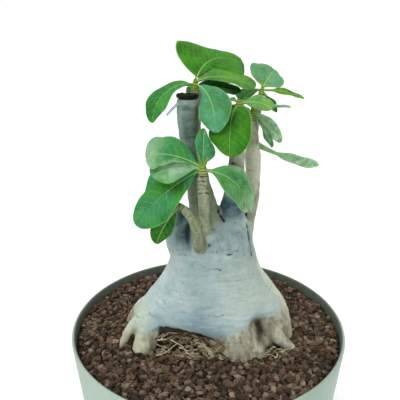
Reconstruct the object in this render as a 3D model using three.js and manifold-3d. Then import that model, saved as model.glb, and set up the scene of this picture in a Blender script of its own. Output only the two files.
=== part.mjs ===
// Potted desert rose (adenium): a swollen caudex on spread feet, pruned trunks and leafy shoots,
// in a round tapered pot filled with potting mix and topped with lava gravel.
// Millimetres, +Z up, +X to the right and +Y away from the side that faces the viewer.
// The origin is the centre of the pot's underside.
import * as THREE from "three";
import { mergeVertices } from "three/addons/utils/BufferGeometryUtils.js";
import Module from "manifold-3d";

const wasm = await Module();
wasm.setup();

// Driving dimensions
const POT_HEIGHT = 140;
const RIM_RADIUS = 100;
const FOOT_RADIUS = 87.3;
const WALL = 2.4;
const FLOOR = 4;
const FLOOR_CHAMFER = 3;
const RIM_ROUND = 0.7;
const FOOT_CHAMFER = 1.5;
const POT_SEGMENTS = 52;
const DRAIN_COUNT = 5;
const DRAIN_RADIUS = 6;
const DRAIN_RING = 50;
const DRAIN_SIDES = 16;
const GAP = 0.35;
const GRAVEL_TOP = 134;
const GRAVEL_DEPTH = 19;
const GRAVEL_STEP = 9.5;
const GRAVEL_RELIEF = 1.3;
const GRAVEL_SCATTER = 0.25;
const GRAVEL_CORE = 24;
const GRAVEL_SEED = 41;
const BODY_SEGMENTS = 36;
const LEAF_ROWS = 7;
const LEAF_COLUMNS = 4;
const LEAF_THICKNESS = 0.8;
const MIDRIB_HEIGHT = 0.7;
const STALK_WIDTH = 2.2;
const TIP_WIDTH = 0.7;
const STALK_SHARE = 0.08;
const BASE_SLIMNESS = 1.05;
const TIP_ROUNDNESS = 0.5;

const radians = THREE.MathUtils.degToRad;

// Seeded draws, so that every run gives the same model
function seededDraw(seed) {
  let state = seed;
  return () => {
    state = (state * 1664525 + 1013904223) % 4294967296;
    return state / 4294967296;
  };
}

// Solids: merging, joining and cutting
function solidOf(geometry) {
  const bare = geometry.clone();
  bare.deleteAttribute("normal");
  bare.deleteAttribute("uv");
  const merged = mergeVertices(bare, 1e-3);
  return new wasm.Manifold(
    new wasm.Mesh({
      numProp: 3,
      vertProperties: new Float32Array(merged.getAttribute("position").array),
      triVerts: new Uint32Array(merged.index.array),
    }),
  );
}

function joined(solids) {
  return solids.reduce((sum, next) => sum.add(next));
}

// A cut can free a loose scrap: only the largest body is kept
function largestBody(solid) {
  const bodies = solid.decompose();
  return bodies.reduce((best, next) => (next.volume() > best.volume() ? next : best));
}

function meshOf(name, solid, material) {
  const mesh = solid.getMesh();
  const geometry = new THREE.BufferGeometry();
  geometry.setAttribute("position", new THREE.BufferAttribute(mesh.vertProperties, 3));
  geometry.setIndex(new THREE.BufferAttribute(mesh.triVerts, 1));
  geometry.computeVertexNormals();
  const made = new THREE.Mesh(geometry, material);
  made.name = name;
  return made;
}

// A turned shape with its axis along +Z, from a profile of [radius, height] pairs
function turned(profile, segments) {
  const points = profile.map(([radius, height]) => new THREE.Vector2(radius, height));
  const geometry = new THREE.LatheGeometry(points, segments);
  geometry.rotateX(Math.PI / 2);
  return geometry;
}

// The values at a place in a list of [place, value, value...] rows, drawn straight between two rows
function valuesAt(rows, place) {
  const last = rows.length - 1;
  if (place <= rows[0][0]) return rows[0].slice(1);
  if (place >= rows[last][0]) return rows[last].slice(1);
  const upper = rows.findIndex((row) => row[0] > place);
  const below = rows[upper - 1];
  const above = rows[upper];
  const share = (place - below[0]) / (above[0] - below[0]);
  return below.slice(1).map((value, i) => THREE.MathUtils.lerp(value, above[i + 1], share));
}

// Limbs: a tapered round stem along a smooth curve, from rows of [x, y, z, radius]
function limb(rows, { sides = 10, step = 11, grow = 0 } = {}) {
  const curve = new THREE.CatmullRomCurve3(
    rows.map(([x, y, z]) => new THREE.Vector3(x, y, z)),
    false,
    "centripetal",
  );
  const length = curve.getLength();
  const stations = Math.max(3, Math.round(length / step));
  const profile = [[0, 0]];
  for (let i = 0; i <= stations; i++) profile.push([1, i]);
  profile.push([0, stations]);
  const geometry = turned(profile, sides);
  const frames = curve.computeFrenetFrames(stations, false);
  const position = geometry.getAttribute("position");
  const place = new THREE.Vector3();
  for (let i = 0; i < position.count; i++) {
    const station = Math.round(position.getZ(i));
    const share = station / stations;
    const index = curve.getUtoTmapping(share) * (rows.length - 1);
    const low = Math.min(Math.floor(index), rows.length - 2);
    const radius = THREE.MathUtils.lerp(rows[low][3], rows[low + 1][3], index - low) + grow;
    curve.getPointAt(share, place);
    if (station === 0) place.addScaledVector(frames.tangents[0], -grow);
    if (station === stations) place.addScaledVector(frames.tangents[stations], grow);
    place.addScaledVector(frames.normals[station], position.getX(i) * radius);
    place.addScaledVector(frames.binormals[station], position.getY(i) * radius);
    position.setXYZ(i, place.x, place.y, place.z);
  }
  const solid = solidOf(geometry);
  return solid.volume() < 0 ? solidOf(flipped(geometry)) : solid;
}

function flipped(geometry) {
  const index = geometry.getIndex();
  for (let i = 0; i < index.count; i += 3) {
    const first = index.getX(i);
    index.setX(i, index.getX(i + 1));
    index.setX(i + 1, first);
  }
  return geometry;
}

// Pot: a tapered shell with a rounded rim and drainage holes through its floor
function potOuterRadius(height) {
  return FOOT_RADIUS + ((RIM_RADIUS - FOOT_RADIUS) * height) / POT_HEIGHT;
}

function potInnerRadius(height) {
  return potOuterRadius(height) - WALL;
}

function potSolid() {
  const shell = solidOf(
    turned(
      [
        [0, 0],
        [FOOT_RADIUS - FOOT_CHAMFER, 0],
        [potOuterRadius(FOOT_CHAMFER), FOOT_CHAMFER],
        [potOuterRadius(POT_HEIGHT - RIM_ROUND), POT_HEIGHT - RIM_ROUND],
        [RIM_RADIUS - RIM_ROUND, POT_HEIGHT],
        [RIM_RADIUS - WALL + RIM_ROUND, POT_HEIGHT],
        [potInnerRadius(POT_HEIGHT - RIM_ROUND), POT_HEIGHT - RIM_ROUND],
        [potInnerRadius(FLOOR + FLOOR_CHAMFER), FLOOR + FLOOR_CHAMFER],
        [potInnerRadius(FLOOR) - FLOOR_CHAMFER, FLOOR],
        [0, FLOOR],
      ],
      POT_SEGMENTS,
    ),
  );
  const drains = [];
  for (let i = 0; i < DRAIN_COUNT; i++) {
    const angle = (2 * Math.PI * i) / DRAIN_COUNT;
    const drill = new THREE.CylinderGeometry(DRAIN_RADIUS, DRAIN_RADIUS, 3 * FLOOR, DRAIN_SIDES);
    drill.rotateX(Math.PI / 2);
    drill.translate(DRAIN_RING * Math.cos(angle), DRAIN_RING * Math.sin(angle), FLOOR / 2);
    drains.push(solidOf(drill));
  }
  return shell.subtract(joined(drains));
}

// Caudex: reach of its skin to the left, right, front and back of the pot's axis, by height
const CAUDEX_REACH = [
  [98, 16, 18, 16, 18],
  [108, 34, 38, 26, 32],
  [120, 48, 52, 33, 42],
  [131, 55, 58, 37, 46],
  [138, 57.5, 60.5, 40, 47],
  [144, 57, 61.5, 41.5, 46],
  [150, 52.5, 60, 42.5, 44],
  [158, 46, 55.5, 40, 40],
  [166, 39.5, 49.5, 35.5, 36],
  [174, 34.5, 43.5, 32.5, 32],
  [182, 30.5, 39, 30.5, 28.5],
  [190, 27.5, 35.5, 29, 26],
  [198, 27, 33, 28, 24.5],
  [205, 27, 31.5, 26.5, 24],
  [212, 25.5, 30.5, 23, 22],
  [219, 20, 28.5, 17, 17],
  [225, 11, 22, 8, 9],
];
const CAUDEX_SQUARENESS = 2.2;
const CAUDEX_DOME = 2;
// Dents in the skin: [angle, height, angle spread, height spread, depth]
const CAUDEX_DENTS = [
  [254, 140, 27, 11, 10],
  [319, 149, 9, 9, 12],
  [232, 212, 12, 9, 7],
  [188, 136, 7, 8, 5],
  [150, 138, 14, 12, 6],
  [100, 136, 12, 12, 5],
  [58, 138, 12, 12, 6],
  [8, 134, 9, 9, 4],
];

function caudexSolid(grow) {
  const profile = [[0, CAUDEX_REACH[0][0] - grow]];
  for (const [height] of CAUDEX_REACH) profile.push([1, height]);
  profile.push([0, CAUDEX_REACH.at(-1)[0] + CAUDEX_DOME + grow]);
  const geometry = turned(profile, BODY_SEGMENTS);
  const position = geometry.getAttribute("position");
  for (let i = 0; i < position.count; i++) {
    const x = position.getX(i);
    const y = position.getY(i);
    const height = position.getZ(i);
    if (Math.hypot(x, y) < 0.5) continue;
    const [left, right, front, back] = valuesAt(CAUDEX_REACH, height);
    const acrossShare = Math.abs(x) / (x > 0 ? right : left);
    const depthShare = Math.abs(y) / (y > 0 ? back : front);
    const bulk = acrossShare ** CAUDEX_SQUARENESS + depthShare ** CAUDEX_SQUARENESS;
    let radius = bulk ** (-1 / CAUDEX_SQUARENESS);
    const angle = (THREE.MathUtils.radToDeg(Math.atan2(y, x)) + 360) % 360;
    for (const [at, level, spread, rise, depth] of CAUDEX_DENTS) {
      const turn = ((angle - at + 540) % 360) - 180;
      radius -= depth * Math.exp(-((turn / spread) ** 2) - ((height - level) / rise) ** 2);
    }
    radius += grow;
    position.setXY(i, x * radius, y * radius);
  }
  return solidOf(geometry);
}

// Feet and roots that spread from the caudex into the gravel: rows of [x, y, z, radius]
const FEET = [
  [[-36, -14, 154, 6], [-49, -20, 150, 5], [-57, -24, 143, 2.8], [-61, -26, 134, 1.9], [-65, -28, 123, 1.6]],
  [[-24, -12, 160, 8], [-38, -23, 149, 9.5], [-43.5, -28, 138, 8.5], [-47, -32, 128, 7], [-50, -34, 118, 5]],
  [[0, -14, 160, 8], [5, -27, 150, 9], [7.5, -33, 141, 7.5], [8.5, -36, 131, 6], [9, -39, 120, 4]],
  [[6, -14, 166, 9], [14, -25, 152, 14], [19, -31.5, 140, 13], [22, -35, 130, 11], [23, -39, 118, 6]],
  [[18, -16, 150, 6], [28, -28, 144, 7], [33.5, -35, 137, 5.2], [37, -38.5, 130, 3.8], [40, -42, 120, 2.5]],
  [[34, -12, 156, 6], [42, -23, 148, 5.2], [50, -28, 141, 3.8], [57.5, -30, 134.5, 2.7], [63, -32, 125, 2]],
  [[24, -2, 164, 8], [44, -6, 152, 12.4], [49.5, -9, 142, 11.8], [52.5, -11, 130, 10], [54, -12, 118, 6]],
  [[-22, 10, 164, 8], [-34, 22, 150, 10], [-43, 30, 138, 8], [-48, 35, 128, 6], [-52, 39, 116, 4]],
  [[2, 14, 164, 8], [3, 32, 150, 10], [4, 41, 139, 8], [5, 47, 129, 6], [6, 52, 116, 4]],
  [[20, 10, 164, 8], [34, 22, 152, 10], [43, 30, 139, 8.5], [48, 34, 129, 6.5], [52, 38, 116, 4]],
  [[-30, 2, 158, 6], [-47, 4, 147, 8], [-56, 6, 137, 5], [-61, 7, 128, 3.6], [-65, 8, 118, 3]],
];

// Anchor roots that run down into the potting mix
const ANCHOR_ROOTS = [
  [[-18, -10, 108, 9], [-34, -20, 88, 6], [-46, -30, 62, 3.5], [-50, -38, 40, 1.6]],
  [[20, -12, 108, 9], [36, -18, 86, 6], [50, -30, 60, 3.2], [58, -34, 36, 1.6]],
  [[-12, 18, 108, 9], [-24, 34, 84, 6], [-30, 48, 56, 3.2], [-40, 56, 34, 1.6]],
  [[20, 18, 108, 9], [34, 32, 86, 6], [42, 48, 58, 3.2], [46, 60, 38, 1.6]],
  [[0, 0, 108, 12], [3, -4, 80, 8], [-4, 3, 50, 4.5], [2, 8, 24, 1.8]],
];

// Bared feeder roots under the front edge of the caudex
const FEEDER_ROOTS = [
  [[-36, -26, 142, 1.6], [-27, -37, 139.5, 1.5], [-12, -40, 137, 1.3], [4, -34, 138, 1.3]],
  [[-33, -26, 145, 1.6], [-27, -36, 141, 1.4], [-15, -41, 137.5, 1.2], [-2, -30, 137, 1.3]],
  [[-24, -28, 143, 1.6], [-13, -38, 141, 1.4], [-1, -40, 138, 1.3], [9, -32, 138, 1.4]],
];

// Trunks, stems and twigs above the caudex: rows of [x, y, z, radius]
const CUT_TRUNK = [
  [2, -3, 196, 13],
  [0.5, -5, 211, 11],
  [-2.5, -6, 226, 10.3],
  [-7, -6, 247, 8],
  [-11, -6, 268, 6.8],
  [-12.8, -6, 280, 6.5],
  [-13.8, -6, 293, 7],
  [-13.8, -6, 303.5, 6.9],
];
const LEFT_SHOULDER = [
  [-14, 1, 190, 12],
  [-19.5, 2, 203, 11.3],
  [-22.3, 3, 215, 9],
  [-23.3, 4, 225, 6.6],
  [-23.6, 4.2, 230, 3],
];
const MIDDLE_TRUNK = [
  [12, 0, 196, 16],
  [14, -1, 210, 14],
  [16, -2, 224, 9.5],
  [17.5, -3, 242, 6.2],
  [18.5, -3.5, 260, 5.4],
  [19.5, -2, 280, 4],
  [19.5, -1, 293, 3.4],
];
const RIGHT_TRUNK = [
  [24, 4, 186, 8],
  [26.5, 6, 200, 5.8],
  [28.6, 7.5, 216, 4.8],
  [31, 8, 232, 4.9],
  [31.4, 8, 247, 4.9],
  [30.8, 8, 262, 5.4],
  [30.2, 8, 276, 3.8],
  [29.8, 8, 288, 2.6],
];
const RIGHT_BRANCH = [
  [30.4, 8.5, 268, 3.6],
  [31.5, 12, 280, 2.6],
  [33.5, 15.5, 291, 2.3],
  [35.5, 18.5, 301, 2.2],
];
const BACK_TWIG = [
  [31, 9.5, 254, 3.6],
  [32.5, 13.5, 262, 2.8],
  [34, 16, 267, 2.3],
];
const CROWN_BRANCH = [
  [-11, -3, 266, 4.4],
  [-9, 3, 280, 3.6],
  [-9, 5, 294, 3.2],
  [-9, 4, 305, 3.1],
];
const FRONT_STEM = [
  [-0.2, -12, 209, 5.6],
  [-0.9, -19.8, 215, 4.4],
  [-1.7, -24, 220, 3.9],
  [-2.6, -25.6, 226, 3.5],
  [-3.2, -26, 236, 3.3],
  [-3.8, -25, 247, 3.3],
  [-4.1, -23.6, 257.5, 3.15],
];
const LOW_STEM = [
  [-5, -18, 203, 5.2],
  [-5.8, -25.2, 208.5, 4.2],
  [-6.4, -28.2, 213, 3.6],
  [-7.8, -30, 220.5, 3],
  [-9.8, -29.6, 228.6, 2.9],
  [-13.5, -28.2, 233.8, 2.7],
  [-16.8, -26.6, 236.6, 2.4],
];
const DRY_STALK = [
  [-18, -8, 302, 1.1],
  [-22, -11, 299, 0.9],
  [-27, -13, 294, 0.7],
];

// The wood that is buried or meets the gravel, which also cuts its own hole there
function baseSolids(grow) {
  return [
    caudexSolid(grow),
    ...FEET.map((rows) => limb(rows, { sides: 8, step: 10, grow })),
    ...ANCHOR_ROOTS.map((rows) => limb(rows, { sides: 6, step: 20, grow })),
  ];
}

function trunkSolids() {
  return [
    limb(CUT_TRUNK, { sides: 12 }),
    limb(LEFT_SHOULDER, { sides: 12, step: 7 }),
    limb(MIDDLE_TRUNK, { sides: 12 }),
    limb(RIGHT_TRUNK, { sides: 11 }),
    limb(RIGHT_BRANCH, { sides: 7 }),
    limb(BACK_TWIG, { sides: 8, step: 6 }),
    limb(CROWN_BRANCH, { sides: 8 }),
    limb(FRONT_STEM, { sides: 10, step: 7 }),
    limb(LOW_STEM, { sides: 8, step: 7 }),
    limb(DRY_STALK, { sides: 5, step: 5 }),
    ...FEEDER_ROOTS.map((rows) => limb(rows, { sides: 5, step: 8 })),
  ];
}

// Black pruning seal on the cut end of the thick trunk: a dished disc of paste with a rounded edge
const SEAL_RADIUS = 7.3;
const SEAL_THICKNESS = 2.8;
const SEAL_EDGE = 0.7;
const SEAL_LIP = 1.3;
const SEAL_DISH = 1;
const SEAL_SIDES = 16;

function sealSolid() {
  const [x, y, z] = CUT_TRUNK.at(-1);
  const geometry = turned(
    [
      [0, 0],
      [SEAL_RADIUS - SEAL_EDGE, 0],
      [SEAL_RADIUS, SEAL_EDGE],
      [SEAL_RADIUS, SEAL_THICKNESS - SEAL_EDGE],
      [SEAL_RADIUS - SEAL_LIP, SEAL_THICKNESS],
      [SEAL_RADIUS - 2 * SEAL_LIP, SEAL_THICKNESS - SEAL_DISH / 2],
      [0, SEAL_THICKNESS - SEAL_DISH],
    ],
    SEAL_SIDES,
  );
  geometry.translate(x, y, z + GAP);
  return solidOf(geometry);
}

// The green tip that carries a stem's leaves: rows that go on from the stem's end, a gap away
function tipRows(stemRows, length) {
  const [x, y, z, radius] = stemRows.at(-1);
  const [fromX, fromY, fromZ] = stemRows.at(-2);
  const along = new THREE.Vector3(x - fromX, y - fromY, z - fromZ).normalize();
  const at = (distance) => [x + along.x * distance, y + along.y * distance, z + along.z * distance];
  return [
    [...at(GAP), radius],
    [...at(0.5 * length), 0.85 * radius],
    [...at(length), 0.35 * radius],
  ];
}

// Leaves
// at is the share of the green tip's length at which a leaf grows from it,
// heading is the compass way a leaf sets out, 0 to the right and 90 away from the viewer,
// rise its climb above level there, and bend and droop how far both have turned at the leaf's end.
// A positive roll lifts the leaf's left side. fold closes the two halves upwards along the midrib,
// and arch turns the margins down. left and right scale the two halves of the blade, evenly from
// its base to its tip, and belly is the share of the length where the blade is widest.
const LEAF_DEFAULTS = {
  bend: 0,
  droop: -25,
  roll: 0,
  twist: 0,
  fold: 12,
  arch: 0.12,
  wave: 0.6,
  waves: 2,
  phase: 0,
  left: [1, 1],
  right: [1, 1],
  belly: 0.62,
};

// Share of the full half-width at a share of the length: a slim stalk, an obovate blade, a round tip
function leafHalfWidth(leaf, along) {
  const blade = THREE.MathUtils.clamp((along - STALK_SHARE) / (1 - STALK_SHARE), 0, 1);
  const power = Math.log(0.5) / Math.log(leaf.belly);
  const spread = Math.sin(Math.PI * blade ** power) ** (BASE_SLIMNESS - TIP_ROUNDNESS * blade);
  const least = along < 0.5 ? STALK_WIDTH : TIP_WIDTH;
  return Math.max(least, spread * leaf.width) / 2;
}

// A half's scale at a share of the length, from scales evenly spaced along it
function scaleAlong(scales, along) {
  const place = along * (scales.length - 1);
  const from = Math.min(Math.floor(place), scales.length - 2);
  return THREE.MathUtils.lerp(scales[from], scales[from + 1], place - from);
}

function leafSolid(options, base) {
  const leaf = { ...LEAF_DEFAULTS, ...options };
  const grid = new THREE.BoxGeometry(1, 1, 1, LEAF_ROWS, LEAF_COLUMNS, 1);
  grid.deleteAttribute("normal");
  grid.deleteAttribute("uv");
  const geometry = mergeVertices(grid, 1e-4);
  const position = geometry.getAttribute("position");
  const midrib = leafMidrib(leaf, base);
  for (let i = 0; i < position.count; i++) {
    const row = Math.round((position.getX(i) + 0.5) * LEAF_ROWS);
    const across = 2 * position.getY(i);
    const top = position.getZ(i) > 0;
    const { along, point, side, normal } = midrib[row];
    const half = leafHalfWidth(leaf, along) * scaleAlong(across > 0 ? leaf.left : leaf.right, along);
    const outward = across * half * Math.cos(radians(leaf.fold));
    const ripple = Math.sin(2 * Math.PI * (leaf.waves * along + leaf.phase) + (across > 0 ? 2 : 0));
    const lift =
      Math.abs(across) * half * Math.sin(radians(leaf.fold)) -
      leaf.arch * half * across * across +
      leaf.wave * ripple * across * across * Math.min(1, half / 4);
    const thick = top ? LEAF_THICKNESS / 2 : -LEAF_THICKNESS / 2 - (across === 0 ? MIDRIB_HEIGHT : 0);
    const moved = point
      .clone()
      .addScaledVector(side, outward)
      .addScaledVector(normal, lift + thick);
    position.setXYZ(i, moved.x, moved.y, moved.z);
  }
  return solidOf(geometry);
}

function leafMidrib(leaf, base) {
  const rows = [];
  const point = base.clone();
  let reached = 0;
  for (let row = 0; row <= LEAF_ROWS; row++) {
    const along = 1 - (1 - row / LEAF_ROWS) ** 1.3;
    const middle = (reached + along) / 2;
    point.addScaledVector(leafDirection(leaf, middle).forward, (along - reached) * leaf.length);
    reached = along;
    rows.push({ along, point: point.clone(), ...leafDirection(leaf, along) });
  }
  return rows;
}

function leafDirection(leaf, along) {
  const heading = radians(leaf.heading + leaf.bend * along);
  const rise = radians(leaf.rise + leaf.droop * along);
  const roll = radians(leaf.roll + leaf.twist * along);
  const forward = new THREE.Vector3(
    Math.cos(rise) * Math.cos(heading),
    Math.cos(rise) * Math.sin(heading),
    Math.sin(rise),
  );
  const level = new THREE.Vector3(-Math.sin(heading), Math.cos(heading), 0);
  const upright = forward.clone().cross(level);
  const side = level.clone().multiplyScalar(Math.cos(roll)).addScaledVector(upright, Math.sin(roll));
  const normal = forward.clone().cross(side);
  return { forward, side, normal };
}

// Leafy shoots: the leaves of each, all growing from one green tip
const FRONT_LEAVES = [
  {
    at: 0.58, heading: 177, rise: -26, bend: 8, droop: -30, length: 58, width: 30, roll: -53,
    belly: 0.42, left: [0.5, 0.7, 1.2, 1.6], right: [1.6, 1.55, 0.8, 1.3],
  },
  {
    at: 0.48, heading: -8, rise: 1, bend: 28, droop: -89, length: 45, width: 23, roll: 50, fold: 16,
    belly: 0.53, left: [1.2, 1, 0.9, 1.2], right: [0.9, 1.05, 1.15, 1.6],
  },
  {
    at: 0.69, heading: 184, rise: 37, bend: -13, droop: -48, length: 38, width: 21, roll: -56, fold: 8,
    belly: 0.59, left: [0.6, 0.5, 0.45, 0.8, 2.1], right: [1.2, 1.3, 1.2, 1.15, 2.1],
  },
  {
    at: 0.6, heading: 186, rise: 17, bend: -8, droop: -42, length: 34, width: 24, roll: -46,
    belly: 0.58, left: [0.9, 0.9, 1, 1], right: [0.8, 0.9, 1.1, 1.1],
  },
  {
    at: 0.78, heading: 87, rise: 76, bend: -6, droop: -16, length: 25, width: 14, roll: 30, fold: 16,
    belly: 0.46, left: [0.85, 0.8, 0.9, 1.2], right: [1.5, 1.45, 0.8, 0.5],
  },
  { at: 0.7, heading: 200, rise: 66, droop: 10, length: 9, width: 3, roll: -10, fold: 20 },
  { at: 0.7, heading: -20, rise: 60, droop: 12, length: 8, width: 3, roll: 10, fold: 20 },
];
const LOW_LEAVES = [
  {
    at: 0.4, heading: 184, rise: -44, bend: -8, droop: -28, length: 31, width: 17, roll: -84,
    belly: 0.53, left: [0.65, 0.7, 0.8, 0.65], right: [0.7, 0.7, 0.9, 1.2],
  },
];
const CROWN_LEAVES = [
  {
    at: 0.65, heading: -166, rise: 11, bend: 27, droop: -96, length: 43, width: 18, roll: -16,
    belly: 0.42, left: [0.6, 0.5, 1, 1.35, 1.2], right: [1.1, 1, 0.8, 1.35, 1.4],
  },
  {
    at: 0.65, heading: -56, rise: -1, bend: -11, droop: -94, length: 42, width: 25, roll: 52,
    belly: 0.51, left: [0.45, 0.55, 1.15, 1.05], right: [0.4, 0.45, 0.85, 1.3],
  },
  {
    at: 0.8, heading: 73, rise: 46, bend: -44, droop: -68, length: 59, width: 38, roll: 32, fold: 6,
    belly: 0.4, left: [1.1, 1.2, 1.45, 0.75, 0.8, 1.3], right: [0.3, 0.25, 1.5, 1.9],
  },
  {
    at: 0.8, heading: 41, rise: 21, bend: -53, droop: -54, length: 45, width: 27, roll: 26,
    belly: 0.39, left: [1.45, 0.85, 0.8, 1.4], right: [0.45, 0.35, 0.95, 1.4],
  },
  {
    at: 0.55, heading: 48, rise: -1, bend: -54, droop: -14, length: 35, width: 21, roll: 23,
    belly: 0.42, left: [0.65, 0.8, 1.2, 1.15], right: [1, 0.85, 1.1, 1],
  },
  { at: 0.5, heading: 84, rise: 6, droop: -60, length: 38, width: 19, roll: 0 },
];
const MIDDLE_LEAVES = [
  {
    at: 0.6, heading: -119, rise: -12, bend: 34, droop: -79, length: 41, width: 34, roll: 33,
    belly: 0.53, left: [1.05, 1.05, 1.05, 1.2], right: [0.9, 1, 0.95, 0.8],
  },
  {
    at: 0.6, heading: -24, rise: 26, bend: 15, droop: -64, length: 23, width: 16, roll: 35,
    belly: 0.58, left: [1.05, 0.85, 0.8, 1.2], right: [0.7, 0.75, 0.95, 0.8],
  },
  { at: 0.7, heading: 40, rise: 16, droop: -30, length: 18, width: 11, roll: 6 },
  { at: 0.8, heading: 130, rise: 14, droop: -20, length: 12, width: 6, roll: -10 },
  { at: 0.6, heading: 92, rise: 2, droop: -72, length: 38, width: 22, roll: 0 },
];
const RIGHT_LEAVES = [
  {
    at: 0.7, heading: -28, rise: -31, bend: 5, droop: -27, length: 29, width: 11, roll: 66, belly: 0.5,
    left: [0.9, 0.8, 0.85, 1.05], right: [0.9, 0.9, 0.85, 0.95],
  },
  { at: 0.65, heading: -46, rise: -44, bend: 30, droop: -24, length: 28, width: 10, roll: -50 },
  { at: 0.8, heading: 4, rise: 14, droop: -22, length: 26, width: 7, roll: 6 },
  { at: 0.6, heading: 160, rise: -8, droop: -30, length: 24, width: 13, roll: 0 },
];
const BRANCH_LEAVES = [
  {
    at: 0.75, heading: 59, rise: 38, bend: 12, droop: -30, length: 31, width: 24, roll: 31,
    belly: 0.42, left: [1.25, 1.3, 1.35, 1.4], right: [1.1, 1, 0.95, 1.05],
  },
  {
    at: 0.7, heading: 11, rise: 1, bend: 3, droop: -25, length: 33, width: 6, roll: 34, belly: 0.55,
    left: [0.7, 1.15, 1.15, 1.1], right: [0.9, 1.2, 1.25, 0.7],
  },
  { at: 0.6, heading: -23, rise: -42, droop: -18, length: 18, width: 7, roll: -60 },
  { at: 0.65, heading: 112, rise: 8, droop: -50, length: 32, width: 18, roll: 0 },
];
const TWIG_LEAVES = [
  {
    at: 0.5, heading: -18, rise: -24, droop: 18, length: 45, width: 12, roll: 72, twist: -60,
    belly: 0.74, left: [2.2, 1.1, 0.9, 1], right: [2, 1.1, 0.9, 1.1],
  },
];
const SHOOTS = [
  { name: "shoot_front", stem: FRONT_STEM, leaves: FRONT_LEAVES, length: 6.5 },
  { name: "shoot_low_left", stem: LOW_STEM, leaves: LOW_LEAVES, length: 5 },
  { name: "shoot_crown", stem: CROWN_BRANCH, leaves: CROWN_LEAVES, length: 10 },
  { name: "shoot_middle", stem: MIDDLE_TRUNK, leaves: MIDDLE_LEAVES, length: 10 },
  { name: "shoot_right", stem: RIGHT_TRUNK, leaves: RIGHT_LEAVES, length: 9 },
  { name: "shoot_right_branch", stem: RIGHT_BRANCH, leaves: BRANCH_LEAVES, length: 9 },
  { name: "shoot_back_twig", stem: BACK_TWIG, leaves: TWIG_LEAVES, length: 5 },
];

function shootSolid({ stem, leaves, length }) {
  const rows = tipRows(stem, length);
  const [foot, , top] = rows.map(([x, y, z]) => new THREE.Vector3(x, y, z));
  const blades = leaves.map((leaf) => leafSolid(leaf, foot.clone().lerp(top, leaf.at)));
  return joined([limb(rows, { sides: 7, step: 4 }), ...blades]);
}

// Potting mix and gravel fill the pot, and are cut clear of the wood
function mixSolid() {
  const bottom = FLOOR + GAP;
  const top = GRAVEL_TOP - GRAVEL_DEPTH - GAP;
  const shoulder = bottom + FLOOR_CHAMFER;
  return solidOf(
    turned(
      [
        [0, bottom],
        [potInnerRadius(bottom) - FLOOR_CHAMFER - GAP, bottom],
        [potInnerRadius(shoulder) - GAP, shoulder],
        [potInnerRadius(top) - GAP, top],
        [0, top],
      ],
      POT_SEGMENTS,
    ),
  );
}

function gravelSolid() {
  const bottom = GRAVEL_TOP - GRAVEL_DEPTH;
  const edge = potInnerRadius(GRAVEL_TOP - GRAVEL_RELIEF) - GAP;
  const rings = Math.round((edge - GRAVEL_CORE) / GRAVEL_STEP);
  const profile = [
    [0, bottom],
    [potInnerRadius(bottom) - GAP, bottom],
  ];
  for (let i = 0; i <= rings; i++) {
    profile.push([THREE.MathUtils.lerp(edge, GRAVEL_CORE, i / rings), GRAVEL_TOP]);
  }
  profile.push([0, GRAVEL_TOP]);
  const geometry = mergeVertices(bareTurned(profile, POT_SEGMENTS), 1e-3);
  const position = geometry.getAttribute("position");
  const draw = seededDraw(GRAVEL_SEED);
  const jitter = () => 2 * draw() - 1;
  for (let i = 0; i < position.count; i++) {
    const radius = Math.hypot(position.getX(i), position.getY(i));
    const lift = jitter() * GRAVEL_RELIEF;
    const shift = jitter() * GRAVEL_SCATTER * GRAVEL_STEP;
    const turn = (jitter() * GRAVEL_SCATTER * 2 * Math.PI) / POT_SEGMENTS;
    if (position.getZ(i) < GRAVEL_TOP - 0.1 || radius < GRAVEL_CORE - 1) continue;
    const onEdge = radius > edge - 0.1;
    const moved = onEdge ? radius : radius + shift;
    const angle = Math.atan2(position.getY(i), position.getX(i)) + (onEdge ? 0 : turn);
    position.setXYZ(
      i,
      moved * Math.cos(angle),
      moved * Math.sin(angle),
      GRAVEL_TOP + (onEdge ? -Math.abs(lift) : lift),
    );
  }
  return solidOf(geometry);
}

function bareTurned(profile, segments) {
  const geometry = turned(profile, segments);
  geometry.deleteAttribute("normal");
  geometry.deleteAttribute("uv");
  return geometry;
}

// Materials
const glazedPlastic = new THREE.MeshStandardMaterial({ color: 0xa9c4b4, roughness: 0.45 });
const soilMatter = new THREE.MeshStandardMaterial({ color: 0x3a2b22, roughness: 1 });
const lavaStone = new THREE.MeshStandardMaterial({ color: 0x6b544c, roughness: 0.95 });
const bark = new THREE.MeshStandardMaterial({ color: 0xa9b8b4, roughness: 0.7 });
const sealPaste = new THREE.MeshStandardMaterial({ color: 0x16171a, roughness: 0.6 });
const leafGreen = new THREE.MeshStandardMaterial({ color: 0x3f9a35, roughness: 0.4 });

const plant = new THREE.Group();
const root = new THREE.Group();

const wood = largestBody(joined([...baseSolids(0), ...trunkSolids()]));
const woodSocket = joined(baseSolids(GAP));

root.add(meshOf("pot", potSolid(), glazedPlastic));
root.add(meshOf("potting_mix", largestBody(mixSolid().subtract(woodSocket)), soilMatter));
root.add(meshOf("lava_gravel", largestBody(gravelSolid().subtract(woodSocket)), lavaStone));
plant.add(meshOf("caudex_and_stems", wood, bark));
plant.add(meshOf("wound_seal", sealSolid(), sealPaste));
for (const shoot of SHOOTS) plant.add(meshOf(shoot.name, shootSolid(shoot), leafGreen));
root.add(plant);

export default root;
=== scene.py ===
import math
import random

import bmesh
import bpy
import numpy as np
from mathutils import Matrix, Vector, noise
from mathutils.bvhtree import BVHTree


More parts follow.
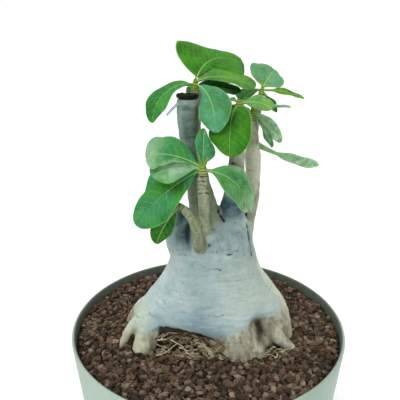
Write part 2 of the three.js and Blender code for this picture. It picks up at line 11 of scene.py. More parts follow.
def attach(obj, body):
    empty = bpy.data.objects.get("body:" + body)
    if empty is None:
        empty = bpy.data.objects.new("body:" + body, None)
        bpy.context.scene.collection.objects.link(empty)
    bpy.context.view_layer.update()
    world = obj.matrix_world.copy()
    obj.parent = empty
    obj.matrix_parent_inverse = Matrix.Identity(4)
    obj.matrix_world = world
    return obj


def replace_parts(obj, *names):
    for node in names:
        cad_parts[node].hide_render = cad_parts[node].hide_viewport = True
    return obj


bl_info = {
    "name": "Potted Desert Rose",
    "version": (1, 0, 0),
    "blender": (4, 5, 0),
    "location": "3D View > Sidebar > Desert Rose",
    "description": "Builds a desert rose with a swollen caudex in a round pot of lava gravel",
    "category": "Add Mesh",
}

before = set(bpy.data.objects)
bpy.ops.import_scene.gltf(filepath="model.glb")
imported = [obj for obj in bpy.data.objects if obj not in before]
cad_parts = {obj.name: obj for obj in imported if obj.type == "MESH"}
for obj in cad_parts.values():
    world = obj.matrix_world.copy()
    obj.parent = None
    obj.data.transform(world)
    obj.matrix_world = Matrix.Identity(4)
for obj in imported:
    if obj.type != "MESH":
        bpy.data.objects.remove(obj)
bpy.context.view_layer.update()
MM = 0.001

# Pot
POT_HEIGHT = 140
RIM_RADIUS = 100
FOOT_RADIUS = 87.3
WALL = 2.4
FLOOR = 4
FOOT_ROUNDING = 2
FLOOR_ROUNDING = 3
DRAIN_COUNT = 5
DRAIN_RADIUS = 6
DRAIN_RING = 50
GRAVEL_TOP = 134
# Layers of stones: spacing, least and greatest size, and lift above the bed as a share of a stone's size.
# The first three are shares of the stone spacing.
GRAVEL_LAYERS = {
    "lava_stones": (1, 0.46, 0.7, 0.1),
    "large_lava_stones": (1.35, 0.44, 0.72, 0.7),
    "lava_crumbs": (0.95, 0.16, 0.32, 0.9),
}
# Spacing of the rows of stones and how far a stone strays, as shares of the spacing
STONE_ROWS = 0.866
STONE_STRAY = 0.4
# Least distance of a stone from the wood, as a share of its size
STONE_CLEARANCE = 0.55
# Stones lie under wood only where it is this high over the bed
LOW_ROOF = 6

# Caudex: reach of its skin to the left, right, front and back of the pot's axis, by height
CAUDEX_REACH = [
    (98, 16, 18, 16, 18),
    (108, 34, 38, 26, 32),
    (120, 48, 52, 33, 42),
    (131, 55, 58, 37, 46),
    (138, 57.5, 60.5, 40, 47),
    (144, 57, 61.5, 41.5, 46),
    (150, 52.5, 60, 42.5, 44),
    (158, 46, 55.5, 40, 40),
    (166, 39.5, 49.5, 35.5, 36),
    (174, 34.5, 43.5, 32.5, 32),
    (182, 30.5, 39, 30.5, 28.5),
    (190, 27.5, 35.5, 29, 26),
    (198, 27, 33, 28, 24.5),
    (205, 27, 31.5, 26.5, 24),
    (212, 25.5, 30.5, 23, 22),
    (219, 20, 28.5, 17, 17),
    (225, 11, 22, 8, 9),
]
# Heights between which the table is read, and above which the skin is that of the limbs
CAUDEX_SPAN = (98, 226)
CAUDEX_SHOULDER = 216
CAUDEX_SQUARENESS = 2.2
# Shifts in height that the reach is averaged over
CAUDEX_EASING = (-4, -2, 0, 2, 4)
# Dents in the skin: angle, height, angle spread, height spread, depth
CAUDEX_DENTS = [
    (254, 140, 27, 11, 10),
    (319, 149, 9, 9, 12),
    (232, 212, 12, 9, 7),
    (188, 136, 7, 8, 5),
    (150, 138, 14, 12, 6),
    (100, 136, 12, 12, 5),
    (58, 138, 12, 12, 6),
    (8, 134, 9, 9, 4),
]

# Wood: rows of x, y, z and radius along each limb
FEET = [
    [(-36, -14, 154, 6), (-49, -20, 150, 5), (-57, -24, 143, 2.8), (-61, -26, 134, 1.9),
     (-65, -28, 123, 1.6)],
    [(-24, -12, 160, 8), (-38, -23, 149, 9.5), (-43.5, -28, 138, 8.5), (-47, -32, 128, 7),
     (-50, -34, 118, 5)],
    [(0, -14, 160, 8), (5, -27, 150, 9), (7.5, -33, 141, 7.5), (8.5, -36, 131, 6), (9, -39, 120, 4)],
    [(6, -14, 166, 9), (14, -25, 152, 14), (19, -31.5, 140, 13), (22, -35, 130, 11), (23, -39, 118, 6)],
    [(18, -16, 150, 6), (28, -28, 144, 7), (33.5, -35, 137, 5.2), (37, -38.5, 130, 3.8),
     (40, -42, 120, 2.5)],
    [(34, -12, 156, 6), (42, -23, 148, 5.2), (50, -28, 141, 3.8), (57.5, -30, 134.5, 2.7),
     (63, -32, 125, 2)],
    [(24, -2, 164, 8), (44, -6, 152, 12.4), (49.5, -9, 142, 11.8), (52.5, -11, 130, 10), (54, -12, 118, 6)],
    [(-22, 10, 164, 8), (-34, 22, 150, 10), (-43, 30, 138, 8), (-48, 35, 128, 6), (-52, 39, 116, 4)],
    [(2, 14, 164, 8), (3, 32, 150, 10), (4, 41, 139, 8), (5, 47, 129, 6), (6, 52, 116, 4)],
    [(20, 10, 164, 8), (34, 22, 152, 10), (43, 30, 139, 8.5), (48, 34, 129, 6.5), (52, 38, 116, 4)],
    [(-30, 2, 158, 6), (-47, 4, 147, 8), (-56, 6, 137, 5), (-61, 7, 128, 3.6), (-65, 8, 118, 3)],
]
ANCHOR_ROOTS = [
    [(-18, -10, 108, 9), (-34, -20, 88, 6), (-46, -30, 62, 3.5), (-50, -38, 40, 1.6)],
    [(20, -12, 108, 9), (36, -18, 86, 6), (50, -30, 60, 3.2), (58, -34, 36, 1.6)],
    [(-12, 18, 108, 9), (-24, 34, 84, 6), (-30, 48, 56, 3.2), (-40, 56, 34, 1.6)],
    [(20, 18, 108, 9), (34, 32, 86, 6), (42, 48, 58, 3.2), (46, 60, 38, 1.6)],
    [(0, 0, 108, 12), (3, -4, 80, 8), (-4, 3, 50, 4.5), (2, 8, 24, 1.8)],
]
CUT_TRUNK = [
    (2, -3, 196, 13),
    (0.5, -5, 211, 11),
    (-2.5, -6, 226, 10.3),
    (-7, -6, 247, 8),
    (-11, -6, 268, 6.8),
    (-12.8, -6, 280, 6.5),
    (-13.8, -6, 293, 7),
    (-13.8, -6, 303.5, 6.9),
]
LEFT_SHOULDER = [
    (-14, 1, 190, 12),
    (-19.5, 2, 203, 11.3),
    (-22.3, 3, 215, 9),
    (-23.3, 4, 225, 6.6),
    (-23.6, 4.2, 230, 3),
]
MIDDLE_TRUNK = [
    (12, 0, 196, 16),
    (14, -1, 210, 14),
    (16, -2, 224, 9.5),
    (17.5, -3, 242, 6.2),
    (18.5, -3.5, 260, 5.4),
    (19.5, -2, 280, 4),
    (19.5, -1, 293, 3.4),
]
RIGHT_TRUNK = [
    (24, 4, 186, 8),
    (26.5, 6, 200, 5.8),
    (28.6, 7.5, 216, 4.8),
    (31, 8, 232, 4.9),
    (31.4, 8, 247, 4.9),
    (30.8, 8, 262, 5.4),
    (30.2, 8, 276, 3.8),
    (29.8, 8, 288, 2.6),
]
RIGHT_BRANCH = [(30.4, 8.5, 268, 3.6), (31.5, 12, 280, 2.6), (33.5, 15.5, 291, 2.3), (35.5, 18.5, 301, 2.2)]
BACK_TWIG = [(31, 9.5, 254, 3.6), (32.5, 13.5, 262, 2.8), (34, 16, 267, 2.3)]
CROWN_BRANCH = [(-11, -3, 266, 4.4), (-9, 3, 280, 3.6), (-9, 5, 294, 3.2), (-9, 4, 305, 3.1)]
FRONT_STEM = [
    (-0.2, -12, 209, 5.6), (-0.9, -19.8, 215, 4.4), (-1.7, -24, 220, 3.9), (-2.6, -25.6, 226, 3.5),
    (-3.2, -26, 236, 3.3), (-3.8, -25, 247, 3.3), (-4.1, -23.6, 257.5, 3.15),
]
LOW_STEM = [
    (-5, -18, 203, 5.2), (-5.8, -25.2, 208.5, 4.2), (-6.4, -28.2, 213, 3.6), (-7.8, -30, 220.5, 3),
    (-9.8, -29.6, 228.6, 2.9), (-13.5, -28.2, 233.8, 2.7), (-16.8, -26.6, 236.6, 2.4),
]
DRY_STALK = [(-18, -8, 302, 1.1), (-22, -11, 299, 0.9), (-27, -13, 294, 0.7)]
LIMBS = {
    "cut": CUT_TRUNK,
    "shoulder": LEFT_SHOULDER,
    "middle": MIDDLE_TRUNK,
    "right": RIGHT_TRUNK,
    "branch": RIGHT_BRANCH,
    "twig": BACK_TWIG,
    "crown": CROWN_BRANCH,
    "front": FRONT_STEM,
    "low": LOW_STEM,
}
SLIM_LIMBS = ("front", "low", "crown", "branch", "twig")
THICK_LIMBS = ("cut", "middle", "right", "shoulder")
# Where limbs and feet leave the caudex, which is rounded off
JOINTS = [FRONT_STEM[:3], LOW_STEM[:3], RIGHT_TRUNK[:4], MIDDLE_TRUNK[:3], CUT_TRUNK[:3], *FEET]
JOINT_REACH = 2.6
JOINT_SMOOTHINGS = 14
SKIN_SMOOTHINGS = 5
# Thin roots: the strands' number is divided by the first value, then their ranges of x, height and length
FEEDER_BUNDLES = [(1, (-37, 4), (134, 148), (5, 20)), (5, (38, 50), (134, 139), (3, 8))]
FEEDER_ROWS = 6
# How far in the thin roots hang: y at the bed, y further up, and how far up that is
FEEDER_SLOPE = (-41, -31, 12)
FEEDER_FRONT = -45

# Skin, which is buried and plain below the first height
BURIED_BELOW = 120
# Heights between which skin turns to beige bark on each limb, and back on the cut trunk
FRONT_BARK = (214, 223)
LOW_BARK = (201.5, 210.5)
MIDDLE_BARK = (234, 246)
RIGHT_BARK = (192, 206)
CUT_BARK = (214, 226)
CUT_BARK_END = (260, 248)
# Heights of the bare wood under the seal, and of the close rings on the front stem
SEAL_BAND = (299.5, 301)
CLOSE_RINGS = (240, 249)
# Spacing of rings in the shape of stems, of painted leaf scars, and of bands around the cut trunk
RING_SPACING = 2.4
SCAR_SPACING = 2.9
BAND_SPACING = 6.2
# Where the smooth skin ends and the corky feet begin: angle around the pot's axis, and height
CORK_LINE = [
    (0, 160), (160, 148), (200, 146), (214, 147), (227, 150.5), (237, 154), (263, 152), (275, 148.5),
    (289, 152), (305, 154), (317, 157), (340, 156), (360, 160),
]
# The lip of the arch at the front: x, and height
ARCH_LIP = [
    (-42, 147), (-38, 151), (-28, 154.5), (-20, 154.5), (-10, 152.5), (2, 149), (9, 144), (12, 138),
]
# The cavity to the right of the arch: centre as x and height, and its reach along each. It is carved in and
# darkened with painted shade.
CAVITY = ((35.4, 147), (5.4, 8))
# Small scars and hollows as seen from the front: x, height, half-width, half-height and depth. Their
# darkening by depth is painted shade, with the scars' own dark colour.
SCARS_AND_HOLLOWS = [
    (5.2, 205.7, 0.7, 2.2, 0.9), (14, 203.4, 3, 0.9, 1.1), (13.8, 207.6, 1.1, 0.6, 0.6),
    (19.1, 205, 1.3, 0.8, 0.8), (16.6, 195.7, 1.2, 0.6, 0.6), (30.7, 198.2, 1, 2.4, 1.4),
    (-5, 169, 1.7, 0.5, 0.5), (-46, 151.5, 1.2, 1.3, 0.5), (-14.2, 216, 2.8, 12, 1.5),
    (0.2, 210.3, 1.6, 2.4, 1.2), (16, 261.6, 3.2, 2, 0.8), (-12.6, 298, 1.3, 1, 0.8),
    (8, 163, 1.5, 0.6, 0.4), (-17, 164, 2.4, 0.6, 0.3), (-24, 187, 0.6, 1.4, 0.3), (36, 172, 1.2, 0.5, 0.3),
]
# Folds in the skin as seen from the front: x and height along each, with its half-width and depth. Each fold
# is darkened with painted shade as deep as it is.
FOLDS = [
    ([(26.6, 226), (26.8, 220), (27.8, 213), (29, 206), (30.2, 200.5)], 0.85, 1.5),
    ([(-5.2, 195.4), (0.8, 194.6), (4.8, 194.6), (8.2, 193.2)], 0.7, 0.6),
    ([(-17, 201), (-12, 204), (-6, 205), (4, 206.3), (10.7, 206.6), (17.5, 204.9), (25, 200.5)], 0.8, 0.3),
    ([(6.7, 229.9), (8.5, 225.6), (10.6, 222.6)], 0.8, 1.1),
    ([(6, 184.5), (13, 185.5), (21, 184)], 0.5, 0.25),
    ([(12, 178), (19, 179), (26, 177)], 0.5, 0.25),
]

# Wound seal: radius and height of its profile, from the middle of its underside to the middle of its top
SEAL_PROFILE = [
    (0, 0), (5.5, 0), (6.6, 0), (7.1, 0.35), (7.3, 0.8), (7.35, 1.5), (7.25, 2.1), (6.8, 2.6), (6.1, 2.85),
    (5.4, 2.8), (4.7, 2.3), (4, 1.9), (3, 1.8), (1.5, 1.8), (0, 1.8),
]

# Leaves. at is the share of the green tip where a leaf grows, heading its compass way (0 right, 90 away),
# rise its climb, bend and droop how far both have turned at its end, roll and twist its turn about the
# midrib, fold and arch the shape across it, left and right the scales of each half from base to tip, belly
# its widest place. wave and waves ripple the margin from its phase, and crinkle puckers the outer part.
# teal, pale, gold and dark tint the whole leaf, faded its outer part, and faint hides its veins. Teal and
# pale are partly painted sheen and painted light, and dark is partly painted shade.
LEAF_DEFAULTS = dict(
    bend=0, droop=-25, roll=0, twist=0, fold=12, arch=0.12, wave=0.6, waves=2, phase=0,
    left=(1, 1), right=(1, 1), belly=0.62, teal=0.3, pale=0, gold=0, dark=0, faint=0, faded=0, crinkle=0,
)
FRONT_LEAVES = [
    dict(
        at=0.58, heading=177, rise=-26, bend=8, droop=-30, length=58, width=30, roll=-53, belly=0.42,
        left=(0.5, 0.7, 1.2, 1.6), right=(1.6, 1.55, 0.8, 1.3), teal=0.55,
    ),
    dict(
        at=0.48, heading=-8, rise=1, bend=28, droop=-89, length=45, width=23, roll=50, fold=16, belly=0.53,
        left=(1.2, 1, 0.9, 1.2), right=(0.9, 1.05, 1.15, 1.6), teal=0.35, pale=0.15, faded=0.6,
    ),
    dict(
        at=0.69, heading=184, rise=37, bend=-13, droop=-48, length=38, width=21, roll=-56, fold=8, belly=0.59,
        left=(0.6, 0.5, 0.45, 0.8, 2.1), right=(1.2, 1.3, 1.2, 1.15, 2.1), teal=0.5, faded=0.75,
    ),
    # Painted light: pale and teal lighten this leaf, which lies in the shade of the one above it.
    dict(
        at=0.6, heading=186, rise=17, bend=-8, droop=-42, length=34, width=24, roll=-46, belly=0.58,
        left=(0.9, 0.9, 1, 1), right=(0.8, 0.9, 1.1, 1.1), teal=0.8, pale=0.75, faded=-0.5, faint=0.85,
    ),
    dict(
        at=0.78, heading=87, rise=76, bend=-6, droop=-16, length=25, width=14, roll=30, fold=16, belly=0.46,
        left=(0.85, 0.8, 0.9, 1.2), right=(1.5, 1.45, 0.8, 0.5), teal=0.9,
    ),
    dict(at=0.7, heading=200, rise=66, droop=10, length=9, width=3, roll=-10, fold=20, gold=0.8),
    dict(at=0.7, heading=-20, rise=60, droop=12, length=8, width=3, roll=10, fold=20, gold=0.8),
]
LOW_LEAVES = [
    dict(
        at=0.4, heading=184, rise=-44, bend=-8, droop=-28, length=31, width=17, roll=-84, belly=0.53,
        left=(0.65, 0.7, 0.8, 0.65), right=(0.7, 0.7, 0.9, 1.2), teal=0.1, dark=0.6,
    ),
]
CROWN_LEAVES = [
    dict(
        at=0.65, heading=-166, rise=11, bend=27, droop=-96, length=43, width=18, roll=-16, belly=0.42,
        left=(0.6, 0.5, 1, 1.35, 1.2), right=(1.1, 1, 0.8, 1.35, 1.4), teal=0.25,
    ),
    dict(
        at=0.65, heading=-56, rise=-1, bend=-11, droop=-94, length=42, width=25, roll=52, belly=0.51,
        left=(0.45, 0.55, 1.15, 1.05), right=(0.4, 0.45, 0.85, 1.3), teal=1, pale=0.1, crinkle=0.9,
    ),
    dict(
        at=0.8, heading=73, rise=46, bend=-44, droop=-68, length=59, width=38, roll=32, fold=6, belly=0.4,
        left=(1.1, 1.2, 1.45, 0.75, 0.8, 1.3), right=(0.3, 0.25, 1.5, 1.9), teal=0, gold=0.12, dark=0.15,
    ),
    dict(
        at=0.8, heading=41, rise=21, bend=-53, droop=-54, length=45, width=27, roll=26, belly=0.39,
        left=(1.45, 0.85, 0.8, 1.4), right=(0.45, 0.35, 0.95, 1.4), teal=0.1, gold=0.35, pale=0.08,
    ),
    # Painted shade: this leaf lies under the big one and is darkened as a whole.
    dict(
        at=0.55, heading=48, rise=-1, bend=-54, droop=-14, length=35, width=21, roll=23, belly=0.42,
        left=(0.65, 0.8, 1.2, 1.15), right=(1, 0.85, 1.1, 1), teal=0, dark=1,
    ),
    dict(at=0.5, heading=84, rise=6, droop=-60, length=38, width=19, roll=0),
]
MIDDLE_LEAVES = [
    dict(
        at=0.6, heading=-119, rise=-12, bend=34, droop=-79, length=41, width=34, roll=33, belly=0.53,
        left=(1.05, 1.05, 1.05, 1.2), right=(0.9, 1, 0.95, 0.8), teal=0, gold=0.15, dark=0.15, crinkle=0.4,
    ),
    dict(
        at=0.6, heading=-24, rise=26, bend=15, droop=-64, length=23, width=16, roll=35, belly=0.58,
        left=(1.05, 0.85, 0.8, 1.2), right=(0.7, 0.75, 0.95, 0.8), teal=0, gold=0.6, pale=0.25,
    ),
    dict(at=0.7, heading=40, rise=16, droop=-30, length=18, width=11, roll=6),
    dict(at=0.8, heading=130, rise=14, droop=-20, length=12, width=6, roll=-10, gold=0.4),
    dict(at=0.6, heading=92, rise=2, droop=-72, length=38, width=22, roll=0),
]
RIGHT_LEAVES = [
    dict(
        at=0.7, heading=-28, rise=-31, bend=5, droop=-27, length=29, width=11, roll=66, belly=0.5,
        left=(0.9, 0.8, 0.85, 1.05), right=(0.9, 0.9, 0.85, 0.95), teal=0.7, pale=1,
    ),
    dict(at=0.65, heading=-46, rise=-44, bend=30, droop=-24, length=28, width=10, roll=-50, pale=0.9),
    dict(at=0.8, heading=4, rise=14, droop=-22, length=26, width=7, roll=6, teal=0.7, pale=0.7),
    dict(at=0.6, heading=160, rise=-8, droop=-30, length=24, width=13, roll=0),
]
BRANCH_LEAVES = [
    dict(
        at=0.75, heading=59, rise=38, bend=12, droop=-30, length=31, width=24, roll=31, belly=0.42,
        left=(1.25, 1.3, 1.35, 1.4), right=(1.1, 1, 0.95, 1.05), teal=0.7, pale=0.3,
    ),
    dict(
        at=0.7, heading=11, rise=1, bend=3, droop=-25, length=33, width=6, roll=34, belly=0.55,
        left=(0.7, 1.15, 1.15, 1.1), right=(0.9, 1.2, 1.25, 0.7), teal=0, gold=0.6,
    ),
    dict(at=0.6, heading=-23, rise=-42, droop=-18, length=18, width=7, roll=-60),
    dict(at=0.65, heading=112, rise=8, droop=-50, length=32, width=18, roll=0),
]
TWIG_LEAVES = [
    dict(
        at=0.5, heading=-18, rise=-24, droop=18, length=45, width=12, roll=72, twist=-60, belly=0.74,
        left=(2.2, 1.1, 0.9, 1), right=(2, 1.1, 0.9, 1.1), teal=0.5, pale=0.9,
    ),
]
# Green tips: name of the solid, the stem that it ends, its leaves and its length
SHOOTS = [
    ("shoot_front", FRONT_STEM, FRONT_LEAVES, 6.5),
    ("shoot_low_left", LOW_STEM, LOW_LEAVES, 5),
    ("shoot_crown", CROWN_BRANCH, CROWN_LEAVES, 10),
    ("shoot_middle", MIDDLE_TRUNK, MIDDLE_LEAVES, 10),
    ("shoot_right", RIGHT_TRUNK, RIGHT_LEAVES, 9),
    ("shoot_right_branch", RIGHT_BRANCH, BRANCH_LEAVES, 9),
    ("shoot_back_twig", BACK_TWIG, TWIG_LEAVES, 5),
]
# Leaf blades: rows and columns of faces, width of stalk and tip, and how the outline swells and narrows
LEAF_ROWS = 46
LEAF_COLUMNS = 20
STALK_WIDTH = 2.2
TIP_WIDTH = 0.7
STALK_SHARE = 0.08
BASE_SLIMNESS = 1.05
TIP_ROUNDNESS = 0.5
# Side veins: how far apart they start, how far forward they lean for each mm out, and how they curve
VEIN_SPACING = 4.4
VEIN_SWEEP = 0.62
VEIN_BOW = 0.014
# Share of its width that the midrib loses with each mm
RIB_TAPER = 0.014
# Gap between a stem's end and the green tip or the wound seal on it
TIP_GAP = 0.35

# Camera: its place, its dip below level in degrees, its lens, sensor and nearest sight.
# Then half the floor's width, the way the main light shines and its width in degrees.
CAMERA_PLACE = (-5.9, -298.4, 330)
CAMERA_DIP = 17.87
CAMERA_LENS = 40.5
CAMERA_SENSOR = 36
CAMERA_NEAR = 10
FLOOR_REACH = 40000
KEY_AIM = (0.45, 0.55, -1)
KEY_SPREAD = 50


def lerp(a, b, share):
    return a + (b - a) * share


def smooth_step(low, high, value):
    """0 below low and 1 above high, with a smooth rise between; works on numbers and on arrays."""
    share = np.clip((value - low) / (high - low), 0, 1)
    return share * share * (3 - 2 * share)


def table_rows(rows, places):
    """The columns of a table at each place, drawn straight between its rows."""
    table = np.array(rows, float)
    return [np.interp(places, table[:, 0], table[:, column]) for column in range(1, table.shape[1])]


def spot(across, up, centre, reach):
    """A soft round spot: 1 at its centre, fading over its reach across and up."""
    return np.exp(-(((across - centre[0]) / reach[0]) ** 2) - ((up - centre[1]) / reach[1]) ** 2)


# Objects and meshes
def new_object(name, mesh, material):
    """An object for the piece, in the scene, riding on the plant's only body."""
    piece = bpy.data.objects.new(name, mesh)
    bpy.context.scene.collection.objects.link(piece)
    mesh.materials.clear()
    mesh.materials.append(material)
    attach(piece, "root")
    return piece


def mesh_from(bm, name):
    """The bmesh as a new mesh, and the bmesh freed."""
    mesh = bpy.data.meshes.new(name)
    bm.to_mesh(mesh)
    bm.free()
    return mesh


def add_mesh(bm, mesh):
    """Adds a scratch mesh to the bmesh and removes it."""
    bm.from_mesh(mesh)
    bpy.data.meshes.remove(mesh)


def spun(profile, steps):
    """A bmesh of the profile of (radius, height) in mm, turned round the upright axis."""
    bm = bmesh.new()
    verts = [bm.verts.new((radius * MM, 0, height * MM)) for radius, height in profile]
    edges = [bm.edges.new(pair) for pair in zip(verts[:-1], verts[1:])]
    bmesh.ops.spin(
        bm, geom=verts + edges, cent=(0, 0, 0), axis=(0, 0, 1), angle=2 * math.pi, steps=steps,
        use_merge=True,
    )
    bmesh.ops.remove_doubles(bm, verts=bm.verts, dist=1e-6)
    return bm


def store(mesh, name, kind, values):
    """A named value on every vertex of the mesh."""
    attribute = mesh.attributes.new(name, kind, "POINT")
    field = {"FLOAT": "value", "FLOAT_COLOR": "color", "FLOAT_VECTOR": "vector"}[kind]
    attribute.data.foreach_set(field, np.ascontiguousarray(values, dtype=np.float32).ravel())


def vertex_places(mesh):
    """The mesh's vertex coordinates in millimetres, one row each."""
    places = np.empty(len(mesh.vertices) * 3, np.float32)
    mesh.vertices.foreach_get("co", places)
    return places.reshape(-1, 3).astype(float) / MM


def vertex_normals(mesh):
    normals = np.empty(len(mesh.vertices) * 3, np.float32)
    mesh.vertex_normals.foreach_get("vector", normals)
    return normals.reshape(-1, 3).astype(float)


def place_vertices(mesh, places):
    mesh.vertices.foreach_set("co", (places * MM).astype(np.float32).ravel())
    mesh.update()


def noise_at(places, scale, seed=0):
    """Smooth noise from about -1 to 1 at each place; scale is its waves' size along each axis in mm."""
    waves = np.asarray(places) / np.asarray(scale, float) + seed
    return np.array([noise.noise(Vector(wave)) for wave in waves])


def with_modifiers(mesh, steps):
    """The mesh after modifiers, given as pairs of a kind and its settings, are applied to it."""
    carrier = bpy.data.objects.new("carrier", mesh)
    bpy.context.scene.collection.objects.link(carrier)
    for kind, settings in steps:
        modifier = carrier.modifiers.new(kind.lower(), kind)
        for key, value in settings.items():
            setattr(modifier, key, value)
    graph = bpy.context.evaluated_depsgraph_get()
    made = bpy.data.meshes.new_from_object(carrier.evaluated_get(graph))
    bpy.data.objects.remove(carrier)
    bpy.data.meshes.remove(mesh)
    return made


# Limbs
def smooth_path(rows, per_row=6):
    """Points and radii along a centripetal Catmull-Rom curve through the rows, as arrays."""
    points = np.array([row[:3] for row in rows], float)
    radii = np.array([row[3] for row in rows], float)
    padded = np.vstack([2 * points[0] - points[1], points, 2 * points[-1] - points[-2]])
    knots = np.concatenate([[0], np.cumsum(np.linalg.norm(np.diff(padded, axis=0), axis=1) ** 0.5)])
    centres, sizes = [], []
    for span in range(len(points) - 1):
        a, b, c, d = padded[span : span + 4]
        ta, tb, tc, td = knots[span : span + 4]
        for step in range(per_row + (span == len(points) - 2)):
            share = step / per_row
            t = lerp(tb, tc, share)
            ab = (tb - t) / (tb - ta) * a + (t - ta) / (tb - ta) * b
            bc = (tc - t) / (tc - tb) * b + (t - tb) / (tc - tb) * c
            cd = (td - t) / (td - tc) * c + (t - tc) / (td - tc) * d
            abc = (tc - t) / (tc - ta) * ab + (t - ta) / (tc - ta) * bc
            bcd = (td - t) / (td - tb) * bc + (t - tb) / (td - tb) * cd
            centres.append((tc - t) / (tc - tb) * abc + (t - tb) / (tc - tb) * bcd)
            sizes.append(lerp(radii[span], radii[span + 1], share))
    return np.array(centres), np.array(sizes)


def ringed_cylinder(sides, stations):
    """A closed unit cylinder from z 0 to 1 with evenly spaced rings."""
    bm = bmesh.new()
    bmesh.ops.create_cone(bm, cap_ends=True, segments=sides, radius1=1, radius2=1, depth=1)
    bmesh.ops.translate(bm, verts=bm.verts, vec=(0, 0, 0.5))
    upright = [edge for edge in bm.edges if abs(edge.verts[0].co.z - edge.verts[1].co.z) > 0.5]
    bmesh.ops.subdivide_edges(bm, edges=upright, cuts=stations - 1)
    return bm


def add_limb(bm, rows, sides=24, per_row=6):
    """A tapered round limb along its rows, as one closed shell."""
    centres, sizes = smooth_path(rows, per_row)
    stations = len(centres) - 1
    limb = ringed_cylinder(sides, stations)
    tangents = np.gradient(centres, axis=0)
    across = Vector(tangents[0]).orthogonal().normalized()
    frames = []
    for i, tangent in enumerate(tangents):
        if i:
            across = Vector(tangents[i - 1]).rotation_difference(Vector(tangent)) @ across
        frames.append((across, Vector(tangent).normalized().cross(across)))
    for vert in limb.verts:
        station = round(vert.co.z * stations)
        across, upward = frames[station]
        place = Vector(centres[station]) + (across * vert.co.x + upward * vert.co.y) * sizes[station]
        vert.co = place * MM
    bmesh.ops.recalc_face_normals(limb, faces=limb.faces)
    add_mesh(bm, mesh_from(limb, "limb"))


def limb_depth(places, rows):
    """For each place, how far it lies outside the limb's skin, and how far along the limb, in mm."""
    centres, sizes = smooth_path(rows, 4)
    best = np.full(len(places), 1e9)
    along = np.zeros(len(places))
    reached = 0
    for start, end, first, last in zip(centres[:-1], centres[1:], sizes[:-1], sizes[1:]):
        way = end - start
        length = np.linalg.norm(way)
        share = np.clip((places - start) @ way / length**2, 0, 1)
        gap = np.linalg.norm(places - start - share[:, None] * way, axis=1) - lerp(first, last, share)
        nearer = gap < best
        best[nearer] = gap[nearer]
        along[nearer] = reached + share[nearer] * length
        reached += length
    return best, along


def caudex_radius(angles, heights):
    """The caudex's radius at each angle in degrees and height, before its feet."""
    eased = [table_rows(CAUDEX_REACH, heights + shift) for shift in CAUDEX_EASING]
    left, right, front, back = np.mean(eased, axis=0)
    turned = np.radians(angles)
    across = np.cos(turned) / np.where(np.cos(turned) > 0, right, left)
    deep = np.sin(turned) / np.where(np.sin(turned) > 0, back, front)
    bulk = np.abs(across) ** CAUDEX_SQUARENESS + np.abs(deep) ** CAUDEX_SQUARENESS
    radius = bulk ** (-1 / CAUDEX_SQUARENESS)
    for at, level, spread, rise, depth in CAUDEX_DENTS:
        turn = (angles - at + 540) % 360 - 180
        radius = radius - depth * np.exp(-((turn / spread) ** 2) - ((heights - level) / rise) ** 2)
    return radius


# Materials
def srgb(code):
    """A colour as Blender takes it, from a six-figure code as seen on a screen."""
    parts = [int(code[i : i + 2], 16) / 255 for i in (0, 2, 4)]
    return tuple(((p + 0.055) / 1.055) ** 2.4 if p > 0.04 else p / 12.92 for p in parts) + (1,)


